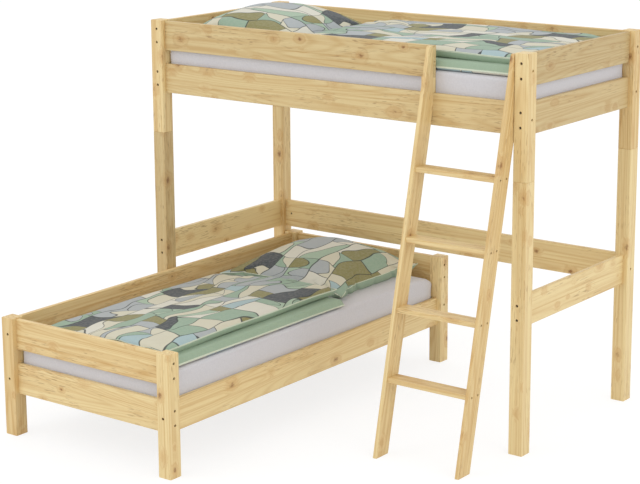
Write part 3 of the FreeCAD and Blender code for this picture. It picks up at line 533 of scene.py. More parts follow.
def make_weave_group():
    """A plain weave: crossed threads from the coordinates, in metres."""
    tree = new_tree_group(
        "cotton weave",
        (("Vector", "NodeSocketVector", None),
         ("Threads", "NodeSocketFloat", THREADS_PER_METRE)),
        (("Height", "NodeSocketFloat"), ("Mask", "NodeSocketFloat")))
    if tree is None:
        return
    given, wanted = group_ends(tree)
    waves = []
    for axis in parts_of(tree, given["Vector"]):
        turned = math_node(tree, "MULTIPLY", axis, given["Threads"])
        waves.append(math_node(tree, "SINE", math_node(tree, "MULTIPLY", turned, math.pi)))
    crossed = math_node(tree, "MULTIPLY", waves[0], waves[1])
    crossed = math_node(tree, "ADD", crossed, waves[2])
    slub = noise(tree, given["Vector"], *SLUB_PATTERN)
    height = weighted(tree, 0.5, (crossed, THREAD_HEIGHT_SHARE), (slub, SLUB_HEIGHT_SHARE))
    tree.links.new(height, wanted["Height"])
    tree.links.new(slub, wanted["Mask"])


def cloth_material(name, sheen):
    """A cloth material: its tree, shader, coordinates and weave group."""
    material, tree, shader = new_material(name)
    coordinates = tree.nodes.new("ShaderNodeTexCoord")
    weave = add_group(tree, "cotton weave")
    set_inputs(shader, {"Sheen Weight": sheen, **CLOTH_SHINE})
    rough = remap(tree, weave.outputs["Mask"], *SLUB_RANGE, *CLOTH_ROUGHNESS)
    tree.links.new(rough, shader.inputs["Roughness"])
    add_bump(tree, shader, weave.outputs["Height"], *CLOTH_BUMP)
    return material, tree, shader, coordinates, weave


def plain_cloth(name, colour, space, sheen=PLAIN_SHEEN):
    """Plain woven cloth with a slightly uneven tone."""
    material, tree, shader, coordinates, weave = cloth_material(name, sheen)
    tree.links.new(coordinates.outputs[space], weave.inputs["Vector"])
    darker = [channel * DARK_CLOTH_SHARE for channel in colour]
    tone = blend_colours(tree, weave.outputs["Mask"], colour, darker)
    tree.links.new(tone, shader.inputs["Base Color"])
    return material


PATCH_COLOURS = (
    (0.00, (0.30, 0.41, 0.31)),
    (0.22, (0.63, 0.60, 0.47)),
    (0.43, (0.26, 0.24, 0.10)),
    (0.49, (0.40, 0.43, 0.44)),
    (0.67, (0.37, 0.49, 0.51)),
    (0.76, (0.68, 0.66, 0.57)),
    (0.88, (0.070, 0.080, 0.088)),
    (0.94, (0.38, 0.49, 0.37)),
)
# Shape of the patches, in patches
PATCH_WIDTH_SHARE = 1.3
PATCH_WARP_SHARE = 1.7
WARPS_PER_METRE = 4.2
WARP_DETAIL = 0.6
ROW_CHANCE = 0.5
ROW_SLIDE = 7.3
COLUMN_SWAY = 0.3
COLUMN_SWAY_RATES = (2.1, 1.7)
BEND_DEPTH = 0.34
BEND_RATES = (6.0, 3.4)
UNSPLIT_SHARE = 0.42
# The dark line round a patch, and the faded spots
LINE_SOFTNESS = (-0.0015, 0.0005)
LINE_STRENGTH = 0.9
LINE_COLOUR = (0.060, 0.068, 0.065)
FADE_PATTERN = ((70, 70, 70), 3)
FADE_RANGE = (0.35, 0.75)
FADE_STRENGTH = 0.14
FADE_COLOUR = (0.60, 0.58, 0.50)


def make_patch_group():
    """A generic patchwork: wavy rows of uneven patches, some split by a bent line."""
    tree = new_tree_group(
        "patchwork print",
        (("Vector", "NodeSocketVector", None), ("Patch", "NodeSocketFloat", None),
         ("Outline", "NodeSocketFloat", None)),
        (("Color", "NodeSocketColor"),))
    if tree is None:
        return
    given, wanted = group_ends(tree)
    place = given["Vector"]
    row, up, column, over = patch_grid(tree, place, given["Patch"])
    chance = random_of(tree, column, row)
    split, parted = patch_split(tree, chance, up, over)
    above = math_node(tree, "MULTIPLY", math_node(tree, "GREATER_THAN", split, 0.0), parted)
    pick = tree.nodes.new("ShaderNodeMix")
    for socket, value in ((0, above), (2, chance[0]), (3, chance[1])):
        tree.links.new(value, pick.inputs[socket])
    colour = patch_colour(tree, pick.outputs[0])

    worn = remap(tree, noise(tree, place, *FADE_PATTERN), *FADE_RANGE, 0.0, FADE_STRENGTH)
    faded = blend_colours(tree, worn, colour, FADE_COLOUR)
    rim = patch_rim(tree, up, over, split, parted)
    rim = math_node(tree, "MULTIPLY", rim, given["Patch"])
    inside = math_node(tree, "SUBTRACT", rim, given["Outline"])
    line = remap(tree, inside, *LINE_SOFTNESS, 1.0, 0.0)
    line = math_node(tree, "MULTIPLY", line, LINE_STRENGTH)
    tree.links.new(blend_colours(tree, line, faded, LINE_COLOUR), wanted["Color"])


def patch_grid(tree, place, size):
    """The row of a place and how far up it, then its column and how far over it."""
    warps = tree.nodes.new("ShaderNodeTexNoise")
    set_inputs(warps, {"Scale": WARPS_PER_METRE, "Detail": WARP_DETAIL})
    tree.links.new(place, warps.inputs["Vector"])
    warp = parts_of(tree, warps.outputs["Color"])
    axes = parts_of(tree, place)
    spots = []
    for axis, share in ((0, PATCH_WIDTH_SHARE), (1, 1.0)):
        pitch = math_node(tree, "MULTIPLY", size, share)
        spot = math_node(tree, "DIVIDE", axes[axis], pitch)
        sway = math_node(tree, "MULTIPLY", warp[axis], PATCH_WARP_SHARE)
        spots.append(math_node(tree, "ADD", spot, sway))
    row = math_node(tree, "FLOOR", spots[1])
    up = math_node(tree, "FRACT", spots[1])
    chance = random_of(tree, row, ROW_CHANCE)
    slid = weighted(tree, spots[0], (chance[0], ROW_SLIDE))
    turned = math_node(tree, "MULTIPLY_ADD", slid, COLUMN_SWAY_RATES[0],
                       math_node(tree, "MULTIPLY", row, COLUMN_SWAY_RATES[1]))
    slid = weighted(tree, slid, (math_node(tree, "SINE", turned), COLUMN_SWAY))
    column = math_node(tree, "FLOOR", slid)
    over = math_node(tree, "FRACT", slid)
    return row, up, column, over


def patch_split(tree, chance, up, over):
    """Height over the bent line across the patch, and 1 where that line splits the patch."""
    bend = math_node(tree, "MULTIPLY_ADD", chance[1], BEND_RATES[0],
                     math_node(tree, "MULTIPLY", over, BEND_RATES[1]))
    bend = math_node(tree, "MULTIPLY", math_node(tree, "SINE", bend), BEND_DEPTH)
    split = math_node(tree, "SUBTRACT", math_node(tree, "ADD", up, -0.5), bend)
    return split, math_node(tree, "GREATER_THAN", chance[2], UNSPLIT_SHARE)


def patch_colour(tree, pick):
    """The colour that a random value picks."""
    ramp = tree.nodes.new("ShaderNodeValToRGB")
    ramp.color_ramp.interpolation = "CONSTANT"
    steps = ramp.color_ramp.elements
    for index, (start, colour) in enumerate(PATCH_COLOURS):
        step = steps[index] if index < 2 else steps.new(start)
        step.position = start
        step.color = (*colour, 1)
    tree.links.new(pick, ramp.inputs["Fac"])
    return ramp.outputs["Color"]


def patch_rim(tree, up, over, split, parted):
    """Distance to the nearest line round or across the patch, in patches."""
    whole = math_node(tree, "SUBTRACT", 1.0, parted)
    rim = math_node(tree, "ADD", math_node(tree, "ABSOLUTE", split), whole)
    for part, share in ((up, 1.0), (over, PATCH_WIDTH_SHARE)):
        side = math_node(tree, "MINIMUM", part, math_node(tree, "SUBTRACT", 1.0, part))
        rim = math_node(tree, "MINIMUM", rim, math_node(tree, "MULTIPLY", side, share))
    return rim


def random_of(tree, first, second):
    """Three random values that belong to a pair of numbers."""
    pair = tree.nodes.new("ShaderNodeCombineXYZ")
    feed(tree, first, pair.inputs[0])
    feed(tree, second, pair.inputs[1])
    chance = tree.nodes.new("ShaderNodeTexWhiteNoise")
    chance.noise_dimensions = "2D"
    tree.links.new(pair.outputs[0], chance.inputs["Vector"])
    return parts_of(tree, chance.outputs["Color"])


def printed_cloth(name, bedding):
    """Cotton with the patchwork print, laid out on the cloth's own coordinates."""
    material, tree, shader, coordinates, weave = cloth_material(name, COTTON_SHEEN)
    tree.links.new(coordinates.outputs["UV"], weave.inputs["Vector"])
    patches = add_group(tree, "patchwork print")
    tree.links.new(coordinates.outputs["UV"], patches.inputs["Vector"])
    set_inputs(patches, {"Patch": bedding.patch_size, "Outline": bedding.outline_width})
    tree.links.new(patches.outputs["Color"], shader.inputs["Base Color"])
    return material


# Sewn pieces

# Order of the cloths on a sewn piece: the print comes first
REVERSE_CLOTH = 1
PIPING_CLOTH = 2

SHEET_GAP = 0.004
PIPING_SIDES = 6
PIPING_RADIUS = 0.0021
WELD_GAP = 0.00002
REST_GAP = 0.0005


def sheet_pair(width, length, across, along):
    """Two sheets sewn round their rim: print on top, plain below, piping between."""
    bm = bmesh.new()
    bmesh.ops.create_grid(bm, x_segments=across, y_segments=along, size=0.5)
    bmesh.ops.scale(bm, vec=(width, length, 1), verts=bm.verts)
    geometry = bm.verts[:] + bm.edges[:] + bm.faces[:]
    copies = bmesh.ops.duplicate(bm, geom=geometry)["geom"]
    low_faces = [item for item in copies if isinstance(item, bmesh.types.BMFace)]
    low_verts = [item for item in copies if isinstance(item, bmesh.types.BMVert)]
    bmesh.ops.translate(bm, vec=(0, 0, -SHEET_GAP / 2), verts=low_verts)
    lower = set(low_verts)
    bmesh.ops.translate(bm, vec=(0, 0, SHEET_GAP / 2),
                        verts=[vert for vert in bm.verts if vert not in lower])
    bmesh.ops.reverse_faces(bm, faces=low_faces)
    for face in low_faces:
        face.material_index = REVERSE_CLOTH
    rim = [edge for edge in bm.edges if edge.is_boundary]
    strip = bmesh.ops.bridge_loops(bm, edges=rim)["faces"]
    for face in strip:
        face.material_index = PIPING_CLOTH
    bmesh.ops.recalc_face_normals(bm, faces=bm.faces)
    flat = bm.loops.layers.uv.new("cloth")
    for face in bm.faces:
        for loop in face.loops:
            loop[flat].uv = (loop.vert.co.x, loop.vert.co.y)
    return bm


def put_in_scene(name, bm):
    """A mesh object at the origin from a bmesh, shaded smooth."""
    mesh = bpy.data.meshes.new(name)
    bm.to_mesh(mesh)
    bm.free()
    mesh.polygons.foreach_set("use_smooth", [True] * len(mesh.polygons))
    piece = bpy.data.objects.new(name, mesh)
    bpy.context.scene.collection.objects.link(piece)
    return piece


def rim_line(mesh):
    """Middle of the strip between the two sheets, as points in order round the rim."""
    bm = bmesh.new()
    bm.from_mesh(mesh)
    strip = {face for face in bm.faces if face.material_index == PIPING_CLOTH}
    face = next(iter(strip))
    rung = next(edge for edge in face.edges if is_rung(edge))
    points = []
    while face in strip:
        strip.remove(face)
        points.append((rung.verts[0].co + rung.verts[1].co) / 2)
        rung = next(edge for edge in face.edges if is_rung(edge) and edge is not rung)
        face = next(other for other in rung.link_faces if other is not face)
    bm.free()
    return points


def is_rung(edge):
    """True for an edge of the strip that joins the two sheets."""
    return all(face.material_index == PIPING_CLOTH for face in edge.link_faces)


def add_piping(piece):
    """Sew a round piping into the seam, as part of the same piece."""
    points = rim_line(piece.data)
    bm = bmesh.new()
    ring = bmesh.ops.create_circle(bm, segments=PIPING_SIDES,
                                   radius=PIPING_RADIUS)["verts"]
    places = [seam_place(points, index) for index in range(len(points))]
    bmesh.ops.transform(bm, matrix=places[0], verts=ring)
    edges = bm.edges[:]
    for index in range(len(places)):
        grown = bmesh.ops.extrude_edge_only(bm, edges=edges)["geom"]
        ring = [item for item in grown if isinstance(item, bmesh.types.BMVert)]
        edges = [item for item in grown if isinstance(item, bmesh.types.BMEdge)]
        following = places[(index + 1) % len(places)]
        bmesh.ops.transform(bm, matrix=following @ places[index].inverted(), verts=ring)
    bmesh.ops.remove_doubles(bm, verts=bm.verts, dist=WELD_GAP)
    for face in bm.faces:
        face.material_index = PIPING_CLOTH
        face.smooth = True
    piping = bpy.data.meshes.new("piping")
    bm.to_mesh(piping)
    bm.clear()
    bm.from_mesh(piece.data)
    bm.from_mesh(piping)
    bmesh.ops.recalc_face_normals(bm, faces=bm.faces)
    bm.to_mesh(piece.data)
    bm.free()
    bpy.data.meshes.remove(piping)


def seam_place(points, index):
    """Place of a ring round the seam: its middle, its side, up and forward directions."""
    ahead = (points[(index + 1) % len(points)] - points[index - 1]).normalized()
    side = ahead.cross(Vector((0, 0, 1))).normalized()
    turn = Matrix((side, side.cross(ahead), -ahead)).transposed()
    return Matrix.Translation(points[index]) @ turn.to_4x4()


def points_of(mesh):
    """The mesh's points, one in each row."""
    places = np.empty(len(mesh.vertices) * 3)
    mesh.vertices.foreach_get("co", places)
    return places.reshape(-1, 3)


def set_points(mesh, places):
    """Move the mesh's points to the rows' places."""
    mesh.vertices.foreach_set("co", places.ravel())
    mesh.update()


COTTON = {"quality": 4, "mass": 0.3, "tension_stiffness": 15, "compression_stiffness": 15,
          "shear_stiffness": 5, "bending_stiffness": 0.5}


def inflate(piece, pressure, frames):
    """Blow a sewn pair of sheets up with the cloth solver and keep the result."""
    modifier = piece.modifiers.new("air", "CLOTH")
    cloth = modifier.settings
    for setting, value in COTTON.items():
        setattr(cloth, setting, value)
    cloth.use_pressure = True
    cloth.uniform_pressure_force = pressure
    cloth.effector_weights.gravity = 0
    modifier.collision_settings.use_collision = False
    modifier.point_cache.frame_start = 1
    modifier.point_cache.frame_end = frames
    scene = bpy.context.scene
    for step in range(1, frames + 1):
        scene.frame_set(step)
    graph = bpy.context.evaluated_depsgraph_get()
    places = points_of(piece.evaluated_get(graph).data)
    piece.modifiers.remove(modifier)
    set_points(piece.data, places)
    scene.frame_set(1)


def spot_on_bed(bed, kind):
    """Where a soft solid starts along and across its mattress, and its three sizes."""
    low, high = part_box(bed + "_" + kind)
    mattress_low, mattress_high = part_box(bed + "_mattress")
    size = high - low
    if bed == "loft":
        return low.x - mattress_low.x, low.y - mattress_low.y, size.x, size.y, size.z
    return mattress_high.y - high.y, mattress_high.x - high.x, size.y, size.x, size.z


def lay_on_bed(piece, bed, along, across, height):
    """Move a mesh's points to distances along, across and above a bed's mattress."""
    low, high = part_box(bed + "_mattress")
    places = [high.x - across, high.y - along, high.z + height]
    if bed == "loft":
        places = [low.x + along, low.y + across, high.z + height]
    set_points(piece.data, np.stack(places, 1))


def give_cloths(piece, bedding):
    """Print, reverse and piping, in the order of the sheets' material numbers."""
    for material in bedding_cloths(bedding):
        piece.data.materials.append(material)


def bedding_cloths(bedding):
    """The three bedding materials, made once."""
    made = [bpy.data.materials.get(label) for label in
            ("bedding print", "bedding reverse", "bedding piping")]
    if all(made):
        return made
    return (printed_cloth("bedding print", bedding),
            plain_cloth("bedding reverse", bedding.reverse, "UV"),
            plain_cloth("bedding piping", bedding.piping, "Object"))


# Pillows

PILLOW_CUT = (0.78, 0.86)
PILLOW_CELLS = (88, 96)
PILLOW_AIR = 4.0

# Shares of the pillow's own length, width and height; its length runs from head to foot
PILLOW_SEAM_SHARE = 0.27
HEAD_CORNER_RISE_SHARE = 0.25
FOOT_CORNER_DROOP_SHARE = 0.45
HEAD_CORNER_DRAW_SHARE = 0.07
FOOT_CORNER_DRAW_SHARE = 0.035
SIDE_CORNER_DRAW_SHARE = 0.025
FOOT_HALF_SHARES = (0.3, 0.7)
CROWN_HEAD_SHARE = 0.9
CROWN_FAR_SHARE = 0.45
LEAN_CORNER_SHARE = 0.2
LEAN_REACH_SHARE = 0.45
LUMP_SHARE = 0.04
FAR_SLOPE_SHARES = {"loft": 0.15, "low": 0.42}

CORNER_SHARPNESS = 3
CROWN_SHARPNESS = 1.8
PRESSED_RATE = 2.6
LUMP_RATES = (7.0, 6.0)
LUMP_STARTS = (1.0, 0.4)
FINE_LUMP_RATES = (13.0, 9.0)


class BED_OT_pillows(bpy.types.Operator):
    """Sew, inflate and lay the two pillows"""
    bl_idname = "bed.pillows"
    bl_label = "Pillows"

    def execute(self, context):
        bedding = context.scene.bed_bedding
        make_weave_group()
        make_patch_group()
        width, length = PILLOW_CUT
        model = put_in_scene("pillow model", sheet_pair(width, length, *PILLOW_CELLS))
        inflate(model, PILLOW_AIR, bedding.pillow_frames)
        blown = points_of(model.data)
        for bed in ("loft", "low"):
            piece = copy_of(model, bed + "_pillow_cloth")
            seat_pillow(piece, bed, shape_pillow(blown, FAR_SLOPE_SHARES[bed]))
            finish_bedding(piece, bed + "_pillow", bedding)
        bpy.data.objects.remove(model)
        return {"FINISHED"}


def copy_of(model, name):
    """A piece in the scene with its own copy of the model's mesh."""
    piece = bpy.data.objects.new(name, model.data.copy())
    bpy.context.scene.collection.objects.link(piece)
    return piece


def shape_pillow(places, far_slope):
    """Flat below, the crown towards the head and the far side, corners drawn in."""
    shape = places.copy()
    for axis in (0, 1):
        span = shape[:, axis].max() - shape[:, axis].min()
        shape[:, axis] = (shape[:, axis] - shape[:, axis].min()) / span
    along, across = shape[:, 0].copy(), shape[:, 1].copy()
    rise = places[:, 2] / np.abs(places[:, 2]).max()
    side = np.abs(shape[:, :2] * 2 - 1)
    corner = np.minimum(side[:, 0], side[:, 1]) ** CORNER_SHARPNESS
    foot = ease(along, *FOOT_HALF_SHARES)
    head = 1 - foot
    seam = PILLOW_SEAM_SHARE * (1 + corner * (HEAD_CORNER_RISE_SHARE * head
                                              - FOOT_CORNER_DROOP_SHARE * foot))
    upper = seam + (1 - seam) * pillow_crown(along, across, rise, far_slope)
    pressed = seam * (1 - np.clip(-rise * PRESSED_RATE, 0, 1))
    shape[:, 2] = np.where(rise >= 0, upper, pressed)
    shape[:, 0] += corner * (HEAD_CORNER_DRAW_SHARE * head - FOOT_CORNER_DRAW_SHARE * foot)
    shape[:, 1] -= corner * SIDE_CORNER_DRAW_SHARE * np.sign(across - 0.5)
    return shape


def pillow_crown(along, across, rise, far_slope):
    """How high the upper sheet stands over the seam, up to 1 at its crown."""
    lumps = (np.sin(along * LUMP_RATES[0] + LUMP_STARTS[0])
             * np.sin(across * LUMP_RATES[1] + LUMP_STARTS[1])
             + np.sin(along * FINE_LUMP_RATES[0] - across * FINE_LUMP_RATES[1]) / 2)
    tilt = 1 + CROWN_FAR_SHARE * (across - 0.5) - CROWN_HEAD_SHARE * (along - 0.5)
    tilt = tilt * (1 - far_slope * ease(across, 0.5, 1))
    lean = 1 - LEAN_CORNER_SHARE * np.exp(-(np.hypot(along, across) / LEAN_REACH_SHARE) ** 2)
    upper = np.clip(rise, 0, None) ** CROWN_SHARPNESS * tilt * lean
    upper = upper * (1 - LUMP_SHARE + LUMP_SHARE * lumps)
    return upper / upper.max()


def seat_pillow(piece, bed, shape):
    """Scale the pillow to the space that its solid holds."""
    start, aside, length, width, height = spot_on_bed(bed, "pillow")
    lay_on_bed(piece, bed, start + shape[:, 0] * length, aside + shape[:, 1] * width,
               REST_GAP + shape[:, 2] * height)


def finish_bedding(piece, node, bedding):
    """Pipe, cover and soften a piece, set it in place of its solid and let it ride."""
    add_piping(piece)
    give_cloths(piece, bedding)
    smooth = piece.modifiers.new("soften", "SUBSURF")
    smooth.levels = 1
    smooth.render_levels = 1
    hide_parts(node)
    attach(piece, node)


# Duvets

DUVET_AIR = 2.0
DUVET_CELLS = (130, 180)
DUVET_LAYER = 0.044
DUVET_LENGTH_EASE = 0.02
DUVET_FOLD_RADIUS = 0.0318
# How far the upper layer's hem lies behind the lower one's, at the foot and at the head
DUVET_SETBACK = (0.070, 0.042)
LOWER_HEAD_SHIFT = 0.032
SEAM_GAP = 0.0016
PRINT_SIDE_SHARE = 0.3
PRINT_SWELL_RATE = 1.6
REVERSE_SWELL_RATE = 7.0

FOLD_DROP_SHARES = {"loft": 0.02, "low": 0.50}
FOLD_DROP_START_SHARE = 0.35
FOLD_DRAW = {"loft": 0.0, "low": 0.045}
FOOT_DROP_SHARE = 0.22
FOOT_DROP_RUN = 0.20
HEAD_LEVEL_SHARE = 0.93
FOOT_LEVEL_SHARE = 1.08

# Short ridges that run in from the hems, and the slow waves between them
PUCKER_SEED = 3
PUCKER_SPACING = 0.14
PUCKER_SPACING_SHARES = (0.6, 1.5)
PUCKER_HEIGHT = 0.007
PUCKER_HEIGHT_SHARES = (0.4, 1.0)
PUCKER_WIDTHS = (0.014, 0.028)
PUCKER_RUNS = (0.08, 0.20)
PUCKER_LEAN = 0.06
PUCKER_START = 0.01
HEM_PUCKER_START = 0.13
HEM_PUCKER_SHARE = 0.7
WAVE_HEIGHT = 0.003
WAVE_RATES = ((9.0, 3.0), (5.0, -8.0))


class BED_OT_duvets(bpy.types.Operator):
    """Sew, inflate, fold and lay the two duvets"""
    bl_idname = "bed.duvets"
    bl_label = "Folded duvets"

    def execute(self, context):
        bedding = context.scene.bed_bedding
        make_weave_group()
        make_patch_group()
        low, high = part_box("loft_duvet")
        length = high.x - low.x
        folded = high.y - low.y
        straight = folded - DUVET_FOLD_RADIUS - DUVET_LAYER / 2
        bend = math.pi * DUVET_FOLD_RADIUS
        flat = 2 * straight + bend - DUVET_SETBACK[0]
        sheets = sheet_pair(length + DUVET_LENGTH_EASE, flat, *DUVET_CELLS)
        model = put_in_scene("duvet model", sheets)
        inflate(model, DUVET_AIR, bedding.duvet_frames)
        shape = fold_duvet(points_of(model.data), length, straight, bend)
        for bed in ("loft", "low"):
            piece = copy_of(model, bed + "_duvet_cloth")
            seat_duvet(piece, bed, *settle_duvet(bed, *shape, length, straight))
            finish_bedding(piece, bed + "_duvet", bedding)
        bpy.data.objects.remove(model)
        return {"FINISHED"}


def fold_duvet(shape, length, straight, bend):
    """Fold the flat duvet once: lower layer, half turn at the far side, upper layer."""
    span = shape[:, 0].max() - shape[:, 0].min()
    along = (shape[:, 0].max() - shape[:, 0]) / span * length
    run = shape[:, 1] - shape[:, 1].min()
    turn = np.clip((run - straight) / bend, 0, 1) * math.pi
    past = np.clip(run - straight - bend, 0, None)
    upper = past / past.max()
    skew = (DUVET_SETBACK[0] - DUVET_SETBACK[1]) * along / length * upper
    across = np.minimum(run, straight) + DUVET_FOLD_RADIUS * np.sin(turn) - past - skew
    height = DUVET_FOLD_RADIUS * (1 - np.cos(turn))
    off = stand_off(shape)
    across = across - off * np.sin(turn)
    height = height + off * np.cos(turn) + DUVET_LAYER * PRINT_SIDE_SHARE
    turned = turn / math.pi
    height = height + turned * puckers(along, across, length, straight)
    return along, across, height, turned


def stand_off(shape):
    """How far a sheet stands off its layer's seam; the reverse side swells the most."""
    side = np.sign(shape[:, 2])
    depth = np.clip(np.abs(shape[:, 2]) - SHEET_GAP / 2, 0, None)
    rate = np.where(side > 0, PRINT_SWELL_RATE, REVERSE_SWELL_RATE)
    swell = np.tanh(rate * depth / depth.max()) / np.tanh(rate)
    share = np.where(side > 0, PRINT_SIDE_SHARE, 1 - PRINT_SIDE_SHARE)
    return -side * (DUVET_LAYER * share * swell + SEAM_GAP / 2)


def settle_duvet(bed, along, across, height, turned, length, straight):
    """Sink the folded duvet at its fold and foot, and draw the lower layer in at the head."""
    far = ease(across, FOLD_DROP_START_SHARE * straight, straight)
    foot = ease(along, length - FOOT_DROP_RUN, length)
    along_share = along / length
    level = HEAD_LEVEL_SHARE + (FOOT_LEVEL_SHARE - HEAD_LEVEL_SHARE) * along_share
    height = height * level * (1 - FOLD_DROP_SHARES[bed] * far)
    height = height * (1 - FOOT_DROP_SHARE * foot * far)
    across = across - FOLD_DRAW[bed] * across / straight
    along = along + LOWER_HEAD_SHIFT * (1 - turned) * (1 - along_share)
    return along, across, height


def ease(value, start, end):
    """A smooth step from 0 at the start to 1 at the end."""
    share = np.clip((value - start) / (end - start), 0, 1)
    return share * share * (3 - 2 * share)


def ridge(along, across, start, end, width):
    """A soft ridge of height one on the line between two points."""
    run = np.subtract(end, start)
    ahead = (along - start[0]) * run[0] + (across - start[1]) * run[1]
    share = np.clip(ahead / run.dot(run), 0, 1)
    gap = np.hypot(along - start[0] - share * run[0], across - start[1] - share * run[1])
    return np.exp(-(gap / width) ** 2)


def puckers(along, across, length, width):
    """Short ridges that run in from the hems, and slow waves between them."""
    choose = random.Random(PUCKER_SEED)
    total = WAVE_HEIGHT * sum(np.sin(along * rate + across * side_rate)
                              for rate, side_rate in WAVE_RATES)
    for edge in ("head", "foot", "hem"):
        reach = length if edge == "hem" else width
        spot = PUCKER_SPACING * choose.random()
        while spot < reach:
            run = choose.uniform(*PUCKER_RUNS)
            side = spot + choose.uniform(-PUCKER_LEAN, PUCKER_LEAN)
            ends = {"head": ((PUCKER_START, spot), (run, side)),
                    "foot": ((length - PUCKER_START, spot), (length - run, side)),
                    "hem": ((spot, HEM_PUCKER_START), (side, HEM_PUCKER_START + run))}[edge]
            height = PUCKER_HEIGHT * choose.uniform(*PUCKER_HEIGHT_SHARES)
            if edge == "hem":
                height *= HEM_PUCKER_SHARE
            total = total + height * ridge(along, across, *ends, choose.uniform(*PUCKER_WIDTHS))
            spot += PUCKER_SPACING * choose.uniform(*PUCKER_SPACING_SHARES)
    return total


def seat_duvet(piece, bed, along, across, height):
    """Lay the folded duvet where its solid lies."""
    start, aside, _, _, top = spot_on_bed(bed, "duvet")
    lay_on_bed(piece, bed, start + along, aside + across, REST_GAP + np.clip(height, 0, top))


# Mattresses

MATTRESS_RIM = 0.016
MATTRESS_ROUND = 0.014
NOOK_ROUND = 0.005
ROUND_SEGMENTS = 4
MATTRESS_CELL = 0.03
SIDE_CUTS = 8
POST_GAP = 0.002
HEAD_DROP = 0.062
HEAD_RUN = 0.120
HEAD_CUTS = 5
LEVEL_NORMAL = 0.5

# Folds in the mattress's side: how fast they change along it and up it
FOLD_SHARE = 0.32
FOLD_RATE = 61
FOLD_GROUP_RATE = 23
FOLD_LEAN_RATES = (2.2, 9)


class BED_OT_mattresses(bpy.types.Operator):
    """Cover the two mattresses"""
    bl_idname = "bed.mattresses"
    bl_label = "Mattresses"

    def execute(self, context):
        settings = context.scene.bed_mattress
        make_weave_group()
        cover = plain_cloth("mattress cover", settings.cover, "Object", COVER_SHEEN)
        for bed in ("loft", "low"):
            node = bed + "_mattress"
            piece = put_in_scene(node + "_cover", mattress_form(node, settings.crown))
            piece.data.materials.append(cover)
            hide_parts(node)
            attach(piece, node)
        return {"FINISHED"}


def mattress_form(node, crown):
    """A foam block that gives way round the posts, its sides drawn into soft folds."""
    low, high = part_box(node)
    size = high - low
    middle = (low + high) / 2
    nook = post_nook(node)
    bm = stepped_block(low, high, nook)
    for inner, radius in ((True, NOOK_ROUND), (False, MATTRESS_ROUND)):
        upright = [edge for edge in bm.edges if runs_up(edge, size.z)
                   and in_nook(edge, middle, size, nook) == inner]
        round_edges(bm, upright, radius)
    cut_level_edges(bm, size.z)
    rims = [edge for edge in bm.edges
            if len({abs(face.normal.z) > LEVEL_NORMAL for face in edge.link_faces}) == 2]
    round_edges(bm, rims, MATTRESS_RIM)
    sides = [edge for edge in bm.edges if runs_up(edge, size.z)]
    bmesh.ops.subdivide_edges(bm, edges=sides, cuts=SIDE_CUTS, use_grid_fill=True)
    bmesh.ops.recalc_face_normals(bm, faces=bm.faces)
    bm.normal_update()
    for vert in bm.verts:
        if abs(vert.normal.z) < LEVEL_NORMAL:
            share = (vert.co.z - low.z) / size.z
            vert.co -= vert.normal * crown * side_fold(vert.co.x + vert.co.y, share)
    round_head(bm, node)
    return bm


def cut_level_edges(bm, height):
    """Cut the long level edges of a block into short ones."""
    level = [edge for edge in bm.edges if edge.calc_length() > MATTRESS_ROUND * 2
             and not runs_up(edge, height)]
    for edge in level:
        cells = int(edge.calc_length() / MATTRESS_CELL)
        if cells:
            bmesh.ops.subdivide_edges(bm, edges=[edge], cuts=cells)


def stepped_block(low, high, nook):
    """A block with a square nook at each upright corner."""
    bm = bmesh.new()
    rim = []
    for x, y, x_in, y_in in ((low.x, low.y, 1, 1), (high.x, low.y, -1, 1),
                             (high.x, high.y, -1, -1), (low.x, high.y, 1, -1)):
        corner = [(x, y + nook * y_in), (x + nook * x_in, y + nook * y_in),
                  (x + nook * x_in, y)]
        rim += corner if x_in == y_in else corner[::-1]
    base = bm.faces.new([bm.verts.new((x, y, low.z)) for x, y in rim])
    grown = bmesh.ops.extrude_face_region(bm, geom=[base])["geom"]
    lifted = [item for item in grown if isinstance(item, bmesh.types.BMVert)]
    bmesh.ops.translate(bm, vec=(0, 0, high.z - low.z), verts=lifted)
    bmesh.ops.recalc_face_normals(bm, faces=bm.faces)
    return bm


def round_edges(bm, edges, radius):
    """Round some edges of a bmesh."""
    bmesh.ops.bevel(bm, geom=edges, offset=radius, offset_type="OFFSET", affect="EDGES",
                    segments=ROUND_SEGMENTS, profile=0.5, material=-1)


def round_head(bm, node):
    """Round the mattress down towards its head end, its top the most."""
    low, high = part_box(node)
    end, inward = high, Vector((0, -1, 0))
    if node.startswith("loft"):
        end, inward = low, Vector((1, 0, 0))
    for cut in range(1, HEAD_CUTS + 1):
        bmesh.ops.bisect_plane(bm, geom=bm.verts[:] + bm.edges[:] + bm.faces[:],
                               plane_co=end + inward * HEAD_RUN * cut / HEAD_CUTS,
                               plane_no=inward)
    for vert in bm.verts:
        left = max(1 - (vert.co - end).dot(inward) / HEAD_RUN, 0)
        share = (vert.co.z - low.z) / (high.z - low.z)
        vert.co.z -= HEAD_DROP * left ** 2 * share


def runs_up(edge, height):
    """True for an edge that rises over half the height."""
    return abs(edge.verts[0].co.z - edge.verts[1].co.z) > height / 2


def in_nook(edge, middle, size, nook):
    """True for the upright edge that faces a post's inner corner."""
    away = edge.verts[0].co - middle
    return size.x / 2 - abs(away.x) > nook / 2 and size.y / 2 - abs(away.y) > nook / 2


def side_fold(run, share):
    """Depth of the folds in a mattress's side, 0 at its seams and up to 1 between them."""
    fold = math.sin(run * FOLD_RATE) * math.sin(run * FOLD_GROUP_RATE + 1)
    fold *= math.sin(share * FOLD_LEAN_RATES[0] + run * FOLD_LEAN_RATES[1])
    return math.sin(math.pi * share) * (1 - FOLD_SHARE + FOLD_SHARE * fold)


